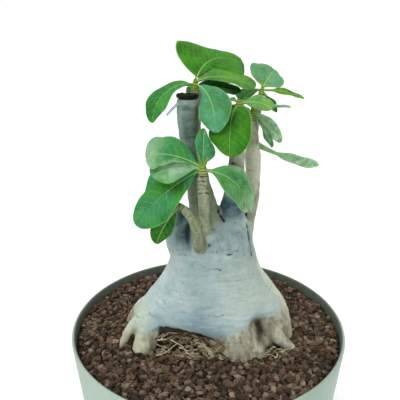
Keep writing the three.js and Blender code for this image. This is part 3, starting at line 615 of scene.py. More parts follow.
class Finish:
    """A procedural material: short names for the nodes that this plant's finishes are built from."""

    def __init__(self, name, roughness=0.6, specular=0.5):
        self.material = bpy.data.materials.new(name)
        self.material.use_nodes = True
        self.tree = self.material.node_tree
        self.shader = self.tree.nodes["Principled BSDF"]
        self.shader.inputs["Roughness"].default_value = roughness
        self.shader.inputs["Specular IOR Level"].default_value = specular
        self.coords = self.tree.nodes.new("ShaderNodeTexCoord").outputs["Object"]

    def put(self, socket, value):
        """Links or writes a value to a socket; text is a colour code."""
        if isinstance(value, bpy.types.NodeSocket):
            self.tree.links.new(value, socket)
        elif isinstance(value, str):
            socket.default_value = srgb(value)
        else:
            socket.default_value = value

    def math(self, operation, *values):
        node = self.tree.nodes.new("ShaderNodeMath")
        node.operation = operation
        for socket, value in zip(node.inputs, values):
            self.put(socket, value)
        return node.outputs["Value"]

    def times(self, first, *factors):
        """The product of two or more values."""
        for factor in factors:
            first = self.math("MULTIPLY", first, factor)
        return first

    def centred(self, cloud, width):
        """Noise from 0 to 1 as a value around 0, of the width given."""
        return self.times(self.math("SUBTRACT", cloud, 0.5), width)

    def stretched(self, size):
        """Object coordinates divided by a size in mm, or by one for each axis."""
        sizes = size if isinstance(size, tuple) else (size,) * 3
        node = self.tree.nodes.new("ShaderNodeMapping")
        self.put(node.inputs["Vector"], self.coords)
        node.inputs["Scale"].default_value = [1 / MM / s for s in sizes]
        return node.outputs["Vector"]

    def noise(self, size, detail=3, roughness=0.55, distortion=0):
        """Cloudy noise from 0 to 1, with waves of the size in mm."""
        node = self.tree.nodes.new("ShaderNodeTexNoise")
        self.put(node.inputs["Vector"], self.stretched(size))
        node.inputs["Scale"].default_value = 1
        node.inputs["Detail"].default_value = detail
        node.inputs["Roughness"].default_value = roughness
        node.inputs["Distortion"].default_value = distortion
        return node.outputs["Fac"]

    def cells(self, size, feature="F1"):
        """Distance within cells of the size in mm, from their middles or their edges."""
        node = self.tree.nodes.new("ShaderNodeTexVoronoi")
        node.feature = feature
        self.put(node.inputs["Vector"], self.stretched(size))
        node.inputs["Scale"].default_value = 1
        return node.outputs["Distance"]

    def step(self, value, low, high):
        """0 below low and 1 above high, or the other way round when high is the smaller."""
        node = self.tree.nodes.new("ShaderNodeMapRange")
        node.interpolation_type = "SMOOTHSTEP"
        self.put(node.inputs["Value"], value)
        ends = (low, high, 0, 1) if low < high else (high, low, 1, 0)
        for key, end in zip(("From Min", "From Max", "To Min", "To Max"), ends):
            node.inputs[key].default_value = end
        return node.outputs["Result"]

    def mix(self, share, first, second, blend="MIX"):
        """The second colour over the first, as strongly as the share says."""
        node = self.tree.nodes.new("ShaderNodeMix")
        node.data_type = "RGBA"
        node.blend_type = blend
        self.put(node.inputs[0], share)
        self.put(node.inputs[6], first)
        self.put(node.inputs[7], second)
        return node.outputs[2]

    def tint(self, base, mask, strength, colour):
        """A colour over the base where the mask is, at the strength given."""
        return self.mix(self.times(mask, strength), base, colour)

    def ramp(self, value, *stops):
        """A colour ramp through stops of a place from 0 to 1 and a colour code."""
        node = self.tree.nodes.new("ShaderNodeValToRGB")
        self.put(node.inputs["Fac"], value)
        points = node.color_ramp.elements
        while len(points) < len(stops):
            points.new(0.5)
        for point, (place, code) in zip(points, stops):
            point.position = place
            point.color = srgb(code)
        return node.outputs["Color"]

    def attribute(self, name):
        node = self.tree.nodes.new("ShaderNodeAttribute")
        node.attribute_name = name
        return node

    def parts(self, vector):
        node = self.tree.nodes.new("ShaderNodeSeparateXYZ")
        self.put(node.inputs["Vector"], vector)
        return node.outputs["X"], node.outputs["Y"], node.outputs["Z"]

    def colour(self, value):
        self.put(self.shader.inputs["Base Color"], value)

    def roughness(self, value, low, high):
        """Roughness from low to high as the value goes from 0 to 1."""
        node = self.tree.nodes.new("ShaderNodeMapRange")
        self.put(node.inputs["Value"], value)
        node.inputs["To Min"].default_value = low
        node.inputs["To Max"].default_value = high
        self.put(self.shader.inputs["Roughness"], node.outputs["Result"])

    def bump(self, height, depth):
        """Relief of the given depth in mm, on top of any relief there is."""
        node = self.tree.nodes.new("ShaderNodeBump")
        node.inputs["Strength"].default_value = 1
        node.inputs["Distance"].default_value = depth * MM
        self.put(node.inputs["Height"], height)
        under = self.shader.inputs["Normal"]
        if under.is_linked:
            self.tree.links.new(under.links[0].from_socket, node.inputs["Normal"])
        self.tree.links.new(node.outputs["Normal"], under)


def pot_finish(look):
    """Matt moulded plastic: pale celadon, faint streaks down the wall; darker inside with painted shade, and
    brown dust there.
    """
    finish = Finish("celadon_plastic", specular=0.4)
    cloud = finish.noise(38, detail=4)
    streak = finish.noise((5, 5, 60), detail=3)
    wall = finish.mix(finish.step(cloud, 0.35, 0.7), look.pot_shade, look.pot_colour)
    wall = finish.tint(wall, finish.step(streak, 0.5, 0.75), 0.07, "dfe8e0")
    inside = finish.attribute("inside").outputs["Fac"]
    dust = finish.times(inside, finish.step(finish.noise(6, detail=5), 0.2, 0.75))
    # Painted shade: the whole inner wall is darkened.
    wall = finish.tint(wall, inside, 0.75, "4c554c")
    finish.colour(finish.tint(wall, dust, 0.45, "57493e"))
    finish.roughness(cloud, 0.38, 0.58)
    finish.bump(finish.noise(0.9, detail=2), 0.04)
    finish.bump(finish.noise(14, detail=2), 0.15)
    return finish.material


def soil_finish():
    """Moist, crumbly potting mix with pale flecks of grit."""
    finish = Finish("potting_soil", roughness=0.95, specular=0.2)
    crumbs = finish.cells(2.6)
    soil = finish.ramp(finish.noise(4, detail=6), (0.3, "1d1510"), (0.55, "33261d"), (0.8, "4b392c"))
    flecks = finish.step(finish.cells(7), 0.14, 0.08)
    finish.colour(finish.mix(flecks, soil, "8d8271"))
    finish.bump(crumbs, 1.2)
    finish.bump(finish.noise(0.8, detail=4), 0.3)
    return finish.material


def grit_bed_finish():
    """Dark fine grit that shows between the stones."""
    finish = Finish("grit_bed", roughness=0.95, specular=0.2)
    grains = finish.cells(2.2)
    shade = finish.ramp(finish.noise(3, detail=5), (0.3, "1c1512"), (0.6, "33271f"), (0.85, "4d3c31"))
    finish.colour(finish.mix(finish.step(grains, 0.35, 0.75), shade, "17110e"))
    finish.bump(grains, 1.4)
    return finish.material


def lava_finish():
    """Lava grit: brown to rust-red and grey, each stone its own shade, with pores and dust."""
    finish = Finish("lava_grit", roughness=0.92, specular=0.25)
    stone = finish.ramp(
        finish.attribute("stone").outputs["Fac"],
        (0.0, "2c231c"), (0.25, "40342a"), (0.45, "524133"), (0.6, "5f4c3b"),
        (0.72, "6b4b37"), (0.8, "6b5d4c"), (0.92, "796955"), (0.99, "938472"),
    )
    mottle = finish.noise(1.3, detail=4)
    stone = finish.tint(stone, finish.step(mottle, 0.5, 0.8), 0.5, "8d7b68")
    pores = finish.step(finish.cells(0.75), 0.35, 0.12)
    finish.colour(finish.tint(stone, pores, 0.75, "1a110d"))
    finish.bump(pores, -0.25)
    finish.bump(finish.noise(0.5, detail=3), 0.25)
    return finish.material


def smooth_skin(finish, look, patch, wrinkle, masks):
    """Blue-grey skin of the caudex, paler and darker in patches, with fine level wrinkles; paler at its edges
    as painted light, and dark slate that is partly painted shade.
    """
    warm, cool, shade, slate = masks
    cloud = finish.noise(24, detail=5, roughness=0.6)
    skin = finish.mix(finish.step(cloud, 0.36, 0.62), look.skin_colour, look.skin_pale)
    skin = finish.tint(skin, finish.step(patch, 0.5, 0.7), 0.6, "c3cbba")
    skin = finish.tint(skin, finish.step(patch, 0.46, 0.3), 0.35, "84a1a6")
    skin = finish.tint(skin, cool, 0.75, "7d9aa2")
    # Warm tone, and painted light at the edges, where it is palest.
    skin = finish.tint(skin, warm, 0.7, "bcc6a8")
    skin = finish.tint(skin, finish.step(warm, 0.6, 1), 0.45, "dfe5cc")
    patches = finish.step(finish.noise(26, detail=2), 0.45, 0.62)
    fine = finish.math("MULTIPLY_ADD", patches, 0.45, 0.22)
    skin = finish.tint(skin, finish.step(wrinkle, 0.55, 0.7), fine, "74888a")
    skin = finish.tint(skin, finish.step(wrinkle, 0.45, 0.3), fine, "d0d8ce")
    mottle = finish.step(finish.noise((5, 5, 3), detail=4, roughness=0.7), 0.5, 0.64)
    skin = finish.tint(skin, mottle, finish.math("MULTIPLY_ADD", cool, 0.45, 0.2), "77909a")
    streak = finish.noise((3, 3, 16), detail=4, roughness=0.6)
    dull = finish.mix(finish.step(streak, 0.35, 0.65), "6f8686", "97abaa")
    skin = finish.tint(skin, shade, 0.68, dull)
    # Slate: dark blue-grey skin, and on the left shoulder also painted shade under the leaves.
    slates = finish.step(finish.noise((6, 6, 4), detail=5), 0.35, 0.65)
    return finish.mix(slate, skin, finish.mix(slates, "3d5860", look.skin_blue))


def stem_bark(finish, warm, olive, flecks):
    """Beige bark of the slim stems, greener on some, with dark flecks; paler on the right trunk as painted
    light.
    """
    wood = finish.noise((4, 4, 9), detail=5, roughness=0.62)
    wood = finish.ramp(wood, (0.3, "7c8269"), (0.5, "9ea58a"), (0.72, "c2c6ae"))
    wood = finish.mix(olive, wood, "b2c3a8", blend="MULTIPLY")
    # Painted light: paler where the right trunk lies in the leaves' shade.
    wood = finish.tint(wood, warm, 0.6, "d0d6bd")
    return finish.tint(wood, flecks, 0.7, "544d3c")


def cut_trunk_bark(finish, warm, cool, flecks):
    """Grey-green bark of the thick cut trunk, paler on its left side as painted light and darker on its right
    as painted shade.
    """
    trunk = finish.noise((8, 8, 4), detail=4)
    trunk = finish.ramp(trunk, (0.3, "40584a"), (0.52, "587365"), (0.75, "7b9387"))
    # Painted light: the left side paler.
    trunk = finish.tint(trunk, cool, 0.65, "8aa096")
    # Painted shade: the right side darker.
    trunk = finish.tint(trunk, warm, 0.75, "5b5a42")
    return finish.tint(trunk, flecks, 0.3, "39402f")


def corky_feet(finish, patch, warm, shade, flecks):
    """Pale, dry cork on the feet, paler at their outer edges as painted light and darker beside the cavity as
    painted shade.
    """
    cork = finish.noise((3, 3, 8), detail=6)
    cork = finish.ramp(cork, (0.28, "7e7d68"), (0.5, "abab94"), (0.75, "d3d3bf"))
    # Painted light: paler at the outer edges.
    cork = finish.tint(cork, warm, 0.8, "dbdcbf")
    cork = finish.tint(cork, finish.step(patch, 0.5, 0.68), 0.35, "a89b68")
    cork = finish.tint(cork, flecks, 0.55, "55493a")
    # Painted shade: darker beside the cavity.
    return finish.tint(cork, shade, 0.7, "615b4c")


def bark_finish(look):
    """The plant's skin: blue-grey and finely wrinkled on the caudex, beige and scarred on stems and feet,
    with painted shade in its folds, scars and hollows.
    """
    finish = Finish("adenium_bark", specular=0.3)
    masks = finish.attribute("bark")
    beige, scarred, crease = finish.parts(masks.outputs["Vector"])
    foot = masks.outputs["Alpha"]
    slate, olive, dim = finish.parts(finish.attribute("skin").outputs["Vector"])
    warm, cool, shade = finish.parts(finish.attribute("cast").outputs["Vector"])
    limb = finish.attribute("limb").outputs["Fac"]
    patch = finish.noise((11, 11, 7), detail=5, roughness=0.65)
    wrinkle = finish.noise((15, 15, 1.6), detail=5, roughness=0.62, distortion=0.8)
    grain = finish.noise(1.1, detail=4, roughness=0.7)
    speck = finish.noise(2.4, detail=5)
    flecks = finish.step(finish.noise((1.8, 1.8, 1.2), detail=4, roughness=0.7), 0.55, 0.68)

    skin = smooth_skin(finish, look, patch, wrinkle, (warm, cool, shade, slate))
    edge = finish.math("ADD", beige, finish.centred(speck, 0.7))
    skin = finish.mix(finish.step(edge, 0.25, 0.75), skin, stem_bark(finish, warm, olive, flecks))
    skin = finish.mix(dim, skin, cut_trunk_bark(finish, warm, cool, flecks))
    edge = finish.math("ADD", foot, finish.centred(speck, 1.3))
    edge = finish.math("ADD", edge, finish.centred(grain, 0.5))
    skin = finish.mix(finish.step(edge, 0.3, 0.75), skin, corky_feet(finish, patch, warm, shade, flecks))

    uneven = finish.times(finish.noise((7, 7, 6), detail=2), 2.2)
    ring = finish.math("ADD", finish.math("DIVIDE", limb, SCAR_SPACING), uneven)
    ring = finish.math("PINGPONG", ring, 0.5)
    broken = finish.step(finish.noise((3, 3, 1.6), detail=2), 0.44, 0.58)
    scars = finish.times(finish.step(ring, 0.16, 0.05), broken, scarred)
    skin = finish.tint(skin, scars, 0.9, "332818")
    skin = finish.tint(skin, finish.times(finish.step(ring, 0.34, 0.46), scarred), 0.35, "cfcba0")
    wobble = finish.times(finish.noise((5, 5, 3), detail=2), 0.7)
    bands = finish.math("ADD", finish.math("DIVIDE", limb, BAND_SPACING), wobble)
    bands = finish.math("PINGPONG", bands, 0.5)
    lines = finish.times(finish.step(bands, 0.1, 0.03), dim, broken)
    skin = finish.tint(skin, lines, 0.35, "2f3c35")
    pits = finish.step(finish.cells((6, 6, 3)), 0.17, 0.08)
    pits = finish.times(pits, finish.step(finish.noise(17, detail=1), 0.5, 0.6))
    skin = finish.tint(skin, pits, 0.6, "454b46")
    # Painted shade: folds, scars, the arch and the cavity are darkened brown-black, and bluish-black where
    # the skin is shaded.
    crease_shade = finish.mix(finish.step(speck, 0.4, 0.65), "17110c", "3c3023")
    crease_shade = finish.mix(shade, crease_shade, "20282b")
    dark = finish.math("ADD", crease, finish.centred(grain, 0.4))
    finish.colour(finish.tint(skin, finish.step(dark, 0.3, 0.85), 0.9, crease_shade))
    finish.roughness(patch, 0.5, 0.72)
    finish.bump(wrinkle, 0.3)
    finish.bump(scars, -0.5)
    finish.bump(lines, -0.15)
    finish.bump(pits, -0.4)
    finish.bump(grain, 0.2)
    return finish.material


def root_finish():
    """Dry feeder roots: tan strands, each its own shade, with dark specks."""
    finish = Finish("feeder_roots", roughness=0.85, specular=0.25)
    strand = finish.attribute("strand").outputs["Fac"]
    tan = finish.ramp(strand, (0.0, "3c3023"), (0.35, "766850"), (0.7, "a2967a"), (1.0, "c4bba1"))
    specks = finish.step(finish.noise(0.9, detail=3), 0.55, 0.7)
    finish.colour(finish.tint(tan, specks, 0.5, "4a3c2c"))
    finish.bump(finish.noise(0.6, detail=3), 0.12)
    return finish.material


def paste_finish():
    """Wound paste: near black, lumpy, a little lighter on the raised lumps."""
    finish = Finish("wound_paste", specular=0.15)
    lumps = finish.noise(2.2, detail=4)
    finish.colour(finish.ramp(lumps, (0.35, "020303"), (0.6, "050706"), (0.8, "171d18")))
    finish.roughness(lumps, 0.3, 0.6)
    finish.bump(lumps, 0.5)
    finish.bump(finish.noise(0.6, detail=2), 0.15)
    return finish.material


def leaf_finish(look):
    """Leathery leaf: pale midrib, side veins that sweep forward, a fine net between them, a pale margin, with
    painted sheen and highlights.
    """
    finish = Finish("adenium_leaf", specular=0.03)
    tone = finish.attribute("leaf_tone")
    teal, pale, gold = finish.parts(tone.outputs["Vector"])
    under = tone.outputs["Alpha"]
    dark, faint, _ = finish.parts(finish.attribute("leaf_dark_and_faint").outputs["Vector"])
    clear = finish.math("SUBTRACT", 1.0, faint)
    along, across, edge = finish.parts(finish.attribute("blade").outputs["Vector"])
    aside = finish.math("ABSOLUTE", across)
    cloud = finish.noise(13, detail=3)

    swept = finish.math("SUBTRACT", along, finish.times(aside, VEIN_SWEEP))
    bowed = finish.times(aside, aside, -VEIN_BOW)
    bent = finish.math("ADD", finish.math("ADD", swept, bowed), finish.times(cloud, 1.6))
    vein = finish.math("PINGPONG", finish.math("DIVIDE", bent, VEIN_SPACING), 0.5)
    veins = finish.times(finish.step(vein, 0.1, 0.02), finish.step(edge, 1.0, 0.55))
    net = finish.step(finish.cells(2.1, feature="DISTANCE_TO_EDGE"), 0.1, 0.02)
    rib = finish.math("DIVIDE", aside, finish.math("SUBTRACT", 1.0, finish.times(along, RIB_TAPER)))
    rib = finish.times(finish.step(rib, 0.55, 0.25), finish.step(along, 60, 12), clear)

    green = finish.mix(finish.step(cloud, 0.35, 0.65), look.leaf_deep, look.leaf_bright)
    # Painted sheen: the teal goes on in soft patches, partly the leaves' bluish green and partly bluish
    # sheen.
    sheen_patches = finish.step(finish.noise(17, detail=3, roughness=0.5), 0.25, 0.62)
    green = finish.mix(finish.times(teal, sheen_patches), green, look.leaf_teal)
    blotch = finish.step(finish.noise(11, detail=3), 0.3, 0.62)
    green = finish.mix(finish.times(gold, blotch), green, "7fae1c")
    # Pale patches: the leaves' own pale tone, spread over the sheen patches as painted sheen.
    pale_patches = finish.step(finish.noise(5, detail=4, roughness=0.6), 0.28, 0.6)
    pale_patches = finish.math("MAXIMUM", pale_patches, finish.times(sheen_patches, 0.8))
    green = finish.mix(finish.times(pale, pale_patches), green, "a8caa6")
    # Painted highlight: a pale bluish shine near the midrib, strongest on teal leaves.
    shine = finish.step(finish.noise(6, detail=4, roughness=0.6, distortion=0.6), 0.56, 0.7)
    glossy = finish.math("MULTIPLY_ADD", teal, 0.8, 0.2)
    shine = finish.times(shine, glossy, finish.step(aside, 11, 3))
    green = finish.tint(green, shine, 0.45, "86c0a6")
    # Dark: the leaf's own deeper green, and painted shade on the leaf that lies under the big one.
    green = finish.mix(dark, green, "1b5a14")
    dusk = finish.step(finish.noise(7, detail=4, roughness=0.6), 0.56, 0.74)
    green = finish.tint(green, dusk, 0.42, "1c5a1c")
    freckles = finish.step(finish.noise(9, detail=3), 0.68, 0.8)
    green = finish.tint(green, freckles, 0.25, "8a9c2c")
    green = finish.tint(green, net, 0.07, "b4d39a")
    green = finish.tint(green, clear, finish.times(veins, 0.17), "a4cc80")
    green = finish.tint(green, rib, 0.8, "a4cd80")
    green = finish.tint(green, finish.step(along, 7, 1), 0.8, "93b84a")
    green = finish.tint(green, finish.step(edge, 0.95, 1.0), 0.5, "a8cc84")
    green = finish.tint(green, under, 0.45, "3c7a34")

    knots = finish.math("DIVIDE", along, 1.7)
    knots = finish.math("ADD", knots, finish.times(finish.noise(2.2, detail=2), 0.9))
    scars = finish.step(finish.math("PINGPONG", knots, 0.5), 0.2, 0.08)
    bud = finish.mix(finish.step(along, 1, 4.5), "9aa077", "88a941")
    bud = finish.tint(bud, scars, 0.7, "4a4326")
    tip = finish.step(edge, -0.3, -0.7)
    finish.colour(finish.mix(tip, green, bud))
    finish.roughness(cloud, 0.36, 0.5)
    finish.bump(veins, -0.12)
    finish.bump(net, -0.05)
    finish.bump(finish.noise(2.6, detail=3), 0.12)
    finish.bump(finish.times(scars, tip), -0.3)
    finish.bump(finish.noise(0.8, detail=2), 0.03)
    return finish.material


def floor_finish(look):
    """Matt white floor that glows a little, so that shadows on it stay faint."""
    finish = Finish("studio_floor", specular=0.1)
    cloud = finish.noise(400, detail=2)
    finish.colour(finish.mix(cloud, look.floor_colour, "ffffff"))
    finish.roughness(cloud, 0.8, 0.9)
    finish.shader.inputs["Emission Color"].default_value = (1, 1, 1, 1)
    finish.shader.inputs["Emission Strength"].default_value = 0.12
    return finish.material


# Pot and its fill
def pot_radius(height):
    """The pot's outer radius at a height, before its rounded foot and rim."""
    return FOOT_RADIUS + (RIM_RADIUS - FOOT_RADIUS) * height / POT_HEIGHT


def rounded(centre, radius, start, end, steps):
    """Points as (radius, height) along an arc from one angle to another, in degrees."""
    angles = [math.radians(lerp(start, end, i / steps)) for i in range(steps + 1)]
    return [(centre[0] + radius * math.cos(a), centre[1] + radius * math.sin(a)) for a in angles]


def drain_drills():
    """Upright cylinders through the floor, one for each drainage hole."""
    bm = bmesh.new()
    for i in range(DRAIN_COUNT):
        turn = Matrix.Rotation(2 * math.pi * i / DRAIN_COUNT, 4, "Z")
        place = turn @ Matrix.Translation((DRAIN_RING * MM, 0, FLOOR / 2 * MM))
        bmesh.ops.create_cone(
            bm, cap_ends=True, segments=32, radius1=DRAIN_RADIUS * MM, radius2=DRAIN_RADIUS * MM,
            depth=4 * FLOOR * MM, matrix=place,
        )
    return mesh_from(bm, "drain_drills")


def pot_mesh(segments):
    """The tapered pot with its rounded foot and rim, flat floor and drainage holes."""
    half = WALL / 2
    heel = FOOT_ROUNDING
    corner = FLOOR + FLOOR_ROUNDING
    profile = [(0, 0)]
    profile += rounded((pot_radius(heel) - heel, heel), heel, -90, 0, 6)
    profile += [(pot_radius(height), height) for height in (20, 50, 80, 110)]
    profile += rounded((RIM_RADIUS - half, POT_HEIGHT - half), half, 5, 175, 10)
    profile += [(pot_radius(height) - WALL, height) for height in (132, 100, 60, 20)]
    profile += rounded((pot_radius(corner) - WALL - FLOOR_ROUNDING, corner), FLOOR_ROUNDING, 0, -90, 5)
    profile += [(0, FLOOR)]
    bm = spun(profile, segments)
    bmesh.ops.recalc_face_normals(bm, faces=bm.faces)
    drills = bpy.data.objects.new("drain_drills", drain_drills())
    bpy.context.scene.collection.objects.link(drills)
    mesh = with_modifiers(
        mesh_from(bm, "pot_shell"), [("BOOLEAN", dict(object=drills, operation="DIFFERENCE", solver="EXACT"))]
    )
    bpy.data.objects.remove(drills)
    places = vertex_places(mesh)
    middle = pot_radius(places[:, 2]) - WALL / 2
    radii = np.hypot(places[:, 0], places[:, 1])
    inner = (radii < middle - 0.2) & (places[:, 2] > FLOOR - 0.5)
    store(mesh, "inside", "FLOAT", inner.astype(float))
    mesh.shade_smooth()
    mesh.set_sharp_from_angle(angle=math.radians(40))
    return mesh


def surface_tree(piece):
    """A search tree over the surface of the object."""
    bm = bmesh.new()
    bm.from_mesh(piece.data)
    tree = BVHTree.FromBMesh(bm)
    bm.free()
    return tree


def stone_shapes(draw, count=9):
    """A few unlike crushed stones of about unit size: cubes with cut edges, pushed out of shape."""
    shapes = []
    for _ in range(count):
        bm = bmesh.new()
        bmesh.ops.create_cube(bm, size=1.5)
        bmesh.ops.bevel(
            bm, geom=bm.edges[:], affect="EDGES", offset=draw.uniform(0.28, 0.42), segments=1, profile=0.5,
            material=-1,
        )
        for vert in bm.verts:
            vert.co *= draw.uniform(0.8, 1.15)
            vert.co += Vector([draw.uniform(-0.13, 0.13) for _ in range(3)])
        bmesh.ops.recalc_face_normals(bm, faces=bm.faces)
        shapes.append(mesh_from(bm, "stone_shape"))
    return shapes


def stone_places(draw, spacing, edge):
    """A loose triangular grid of places out to the pot's wall."""
    for row in range(int(2 * edge / (spacing * STONE_ROWS)) + 2):
        for column in range(int(2 * edge / spacing) + 2):
            stray = [draw.uniform(-STONE_STRAY, STONE_STRAY) * spacing for _ in range(2)]
            x = -edge + (column + row % 2 / 2) * spacing + stray[0]
            y = -edge + row * spacing * STONE_ROWS + stray[1]
            if math.hypot(x, y) < edge:
                yield x, y


def gravel_mesh(look, layer, bed, wood):
    """Loose stones lying on the gravel bed: one layer of them, of the spacing, sizes and lift given."""
    between = look.spacing / MM
    spacing, least, most, lift = layer
    draw = random.Random(look.seed + spacing)
    shapes = stone_shapes(draw)
    bed_tree = surface_tree(bed)
    wood_tree = surface_tree(wood)
    wall = pot_radius(GRAVEL_TOP) - WALL - 0.4
    bm = bmesh.new()
    shades = []
    for x, y in stone_places(draw, spacing * between, wall - least * between):
        size = between * draw.uniform(least, most)
        spin = [draw.uniform(0, 2 * math.pi) for _ in range(3)]
        stretch = [draw.uniform(0.8, 1.45), draw.uniform(0.7, 1.1), draw.uniform(0.45, 0.8)]
        shade, shape = draw.random(), draw.choice(shapes)
        above, down = Vector((x * MM, y * MM, 0.4)), Vector((0, 0, -1))
        on_bed = bed_tree.ray_cast(above, down)[0]
        on_wood = wood_tree.ray_cast(above, down)[0]
        if on_bed is None or math.hypot(x, y) + size > wall:
            continue
        if on_wood is not None and on_wood.z > on_bed.z:
            if on_wood.z - on_bed.z < LOW_ROOF * MM or wood_tree.find_nearest(on_bed)[3] < size * MM:
                continue
        centre = on_bed + Vector((0, 0, size * lift * MM))
        if wood_tree.find_nearest(centre)[3] < size * STONE_CLEARANCE * MM:
            continue
        turn = Matrix.Rotation(spin[0], 4, "Z") @ Matrix.Rotation(0.5 * math.sin(spin[1]), 4, "X")
        turn = turn @ Matrix.Rotation(spin[2], 4, "Z")
        placed = Matrix.Translation(centre) @ turn @ Matrix.Diagonal([size * s * MM for s in stretch] + [1])
        stone = shape.copy()
        stone.transform(placed)
        add_mesh(bm, stone)
        shades += [shade] * len(shape.vertices)
    for shape in shapes:
        bpy.data.meshes.remove(shape)
    mesh = mesh_from(bm, "lava_stones")
    store(mesh, "stone", "FLOAT", shades)
    return mesh


# Wood
def caudex_shell(bm):
    """The swollen base as one closed shell."""
    body = ringed_cylinder(132, 72)
    low, high = CAUDEX_REACH[0][0], CAUDEX_REACH[-1][0] + 2
    angles = np.array([math.degrees(math.atan2(vert.co.y, vert.co.x)) % 360 for vert in body.verts])
    heights = np.array([lerp(low, high, vert.co.z) for vert in body.verts])
    for vert, angle, height, radius in zip(body.verts, angles, heights, caudex_radius(angles, heights)):
        turn = math.radians(angle)
        vert.co = Vector((radius * math.cos(turn), radius * math.sin(turn), height)) * MM
    bmesh.ops.recalc_face_normals(body, faces=body.faces)
    add_mesh(bm, mesh_from(body, "caudex"))


def caudex_gap(places):
    """How far each place lies outside the caudex's own skin, in mm."""
    angles = np.degrees(np.arctan2(places[:, 1], places[:, 0])) % 360
    radii = caudex_radius(angles, np.clip(places[:, 2], *CAUDEX_SPAN))
    return np.hypot(places[:, 0], places[:, 1]) - radii


def fattened(rows):
    """The rows with a little added to each radius, which the smoothing of the skin takes off again."""
    return [(x, y, z, radius + 0.25 * SKIN_SMOOTHINGS / radius) for x, y, z, radius in rows]


def ease_joints(mesh):
    """Rounds the creases where limbs leave the caudex."""
    places = vertex_places(mesh)
    gap = np.min([limb_depth(places, rows)[0] for rows in JOINTS], axis=0)
    near = (np.abs(gap) < JOINT_REACH) & (np.abs(caudex_gap(places)) < JOINT_REACH) & (places[:, 2] > 130)
    bm = bmesh.new()
    bm.from_mesh(mesh)
    bm.verts.ensure_lookup_table()
    verts = [bm.verts[i] for i in np.flatnonzero(near)]
    for _ in range(JOINT_SMOOTHINGS):
        bmesh.ops.smooth_vert(
            bm, verts=verts, factor=0.5, use_axis_x=True, use_axis_y=True, use_axis_z=True
        )
    bm.to_mesh(mesh)
    bm.free()


def fused_wood(look):
    """Caudex, feet, roots, trunks and stems fused into one smooth skin."""
    bm = bmesh.new()
    caudex_shell(bm)
    for rows in [*FEET, *ANCHOR_ROOTS, *LIMBS.values()]:
        add_limb(bm, fattened(rows), sides=32)
    mesh = with_modifiers(
        mesh_from(bm, "wood"),
        [
            ("REMESH", dict(mode="VOXEL", voxel_size=look.voxel)),
            ("SMOOTH", dict(factor=0.5, iterations=SKIN_SMOOTHINGS)),
        ],
    )
    ease_joints(mesh)
    return mesh


class WoodSkin:
    """The wood's skin, one number a vertex: its place, the limbs that it belongs to, masks from 0 to 1."""

    def __init__(self, mesh):
        self.places = vertex_places(mesh)
        self.normals = vertex_normals(mesh)
        self.x, self.y, self.z = self.places.T
        body_gap = caudex_gap(self.places)
        body_gap = body_gap + np.maximum(self.z - CAUDEX_SHOULDER, 0)
        gaps = {name: limb_depth(self.places, rows) for name, rows in LIMBS.items()}
        nearest = np.min([gap for gap, _ in gaps.values()], axis=0)
        self.share = {
            name: smooth_step(2.5, -2.5, gap - body_gap) * smooth_step(1.2, 0.2, gap - nearest)
            for name, (gap, _) in gaps.items()
        }
        owners = [gap <= nearest + 1e-6 for gap, _ in gaps.values()]
        self.along = np.select(owners, [along for _, along in gaps.values()], 0)
        self.limbs = np.max([self.share[name] for name in SLIM_LIMBS + THICK_LIMBS], axis=0)
        self.thick = np.max([self.share[name] for name in THICK_LIMBS], axis=0)
        self.on_body = 1 - self.limbs
        facing = smooth_step(0.05, 0.4, -self.normals[:, 1]) * (self.y < 6)
        self.facing = facing * (1 - np.maximum(self.share["front"], self.share["low"]))
        self.uneven = smooth_step(-0.3, 0.3, self.waves((3.5, 3.5, 3), 23))
        angles = np.degrees(np.arctan2(self.y, self.x)) % 360
        line = table_rows(CORK_LINE, angles)[0] + 2.5 * self.waves((9, 9, 9), 21)
        self.foot = smooth_step(-6, 5, line - self.z) * (self.z < 170)
        frayed = self.z + 1.2 * self.waves((3, 3, 4), 45)
        self.front_bark = self.share["front"] * smooth_step(*FRONT_BARK, frayed)
        self.low_bark = self.share["low"] * smooth_step(*LOW_BARK, frayed)
        rings = (0.2 + 0.8 * self.rise(*CLOSE_RINGS)) * self.front_bark
        rings += 0.4 * self.share["crown"] + 0.3 * self.share["branch"]
        self.scar_rings = rings + 0.45 * self.low_bark * self.uneven

    def waves(self, scale, seed=0):
        """Smooth noise from about -1 to 1, and 0 on the buried part."""
        return np.where(self.z > BURIED_BELOW, noise_at(self.places, scale, seed), 0)

    def rise(self, low, high):
        """0 below one height and 1 above the other, or the other way round."""
        return smooth_step(low, high, self.z)


def arch_hollow(skin):
    """The hollow under the arch at the front: how deep it is in mm, and how dark it is painted, as painted
    shade.
    """
    x, z = skin.x, skin.z
    fore = skin.y < -10
    feet_gap = np.min([limb_depth(skin.places, rows)[0] for rows in FEET[:6]], axis=0)
    between_feet = smooth_step(0.5, 2.5, feet_gap)
    lip = np.interp(x, *np.array(ARCH_LIP).T)
    lip = lip + 1.2 * skin.waves((4, 4, 4), 41) + 0.6 * skin.waves((1.8, 1.8, 1.8), 43)
    arch = smooth_step(0.5, -1.5, z - lip) * smooth_step(-42, -38, x) * smooth_step(12, 8, x) * fore
    arch = arch * smooth_step(-0.5, 1.5, feet_gap)
    # A darker band along the arch's lip.
    lip_band = np.exp(-(((z - lip) / 1.8) ** 2)) * smooth_step(-40, -34, x) * smooth_step(12, 6, x) * fore
    lip_band = lip_band * smooth_step(-0.35, 0.4, skin.waves((5, 5, 4), 47))
    cavity = spot(x, z, *CAVITY) * fore
    # Painted shade: the arch and the cavity are darkened, together with the band along the lip.
    dark = arch + 0.65 * lip_band * between_feet + cavity * (0.75 + 0.25 * between_feet)
    return 3 * arch + 4 * cavity * between_feet, np.clip(dark, 0, 1)


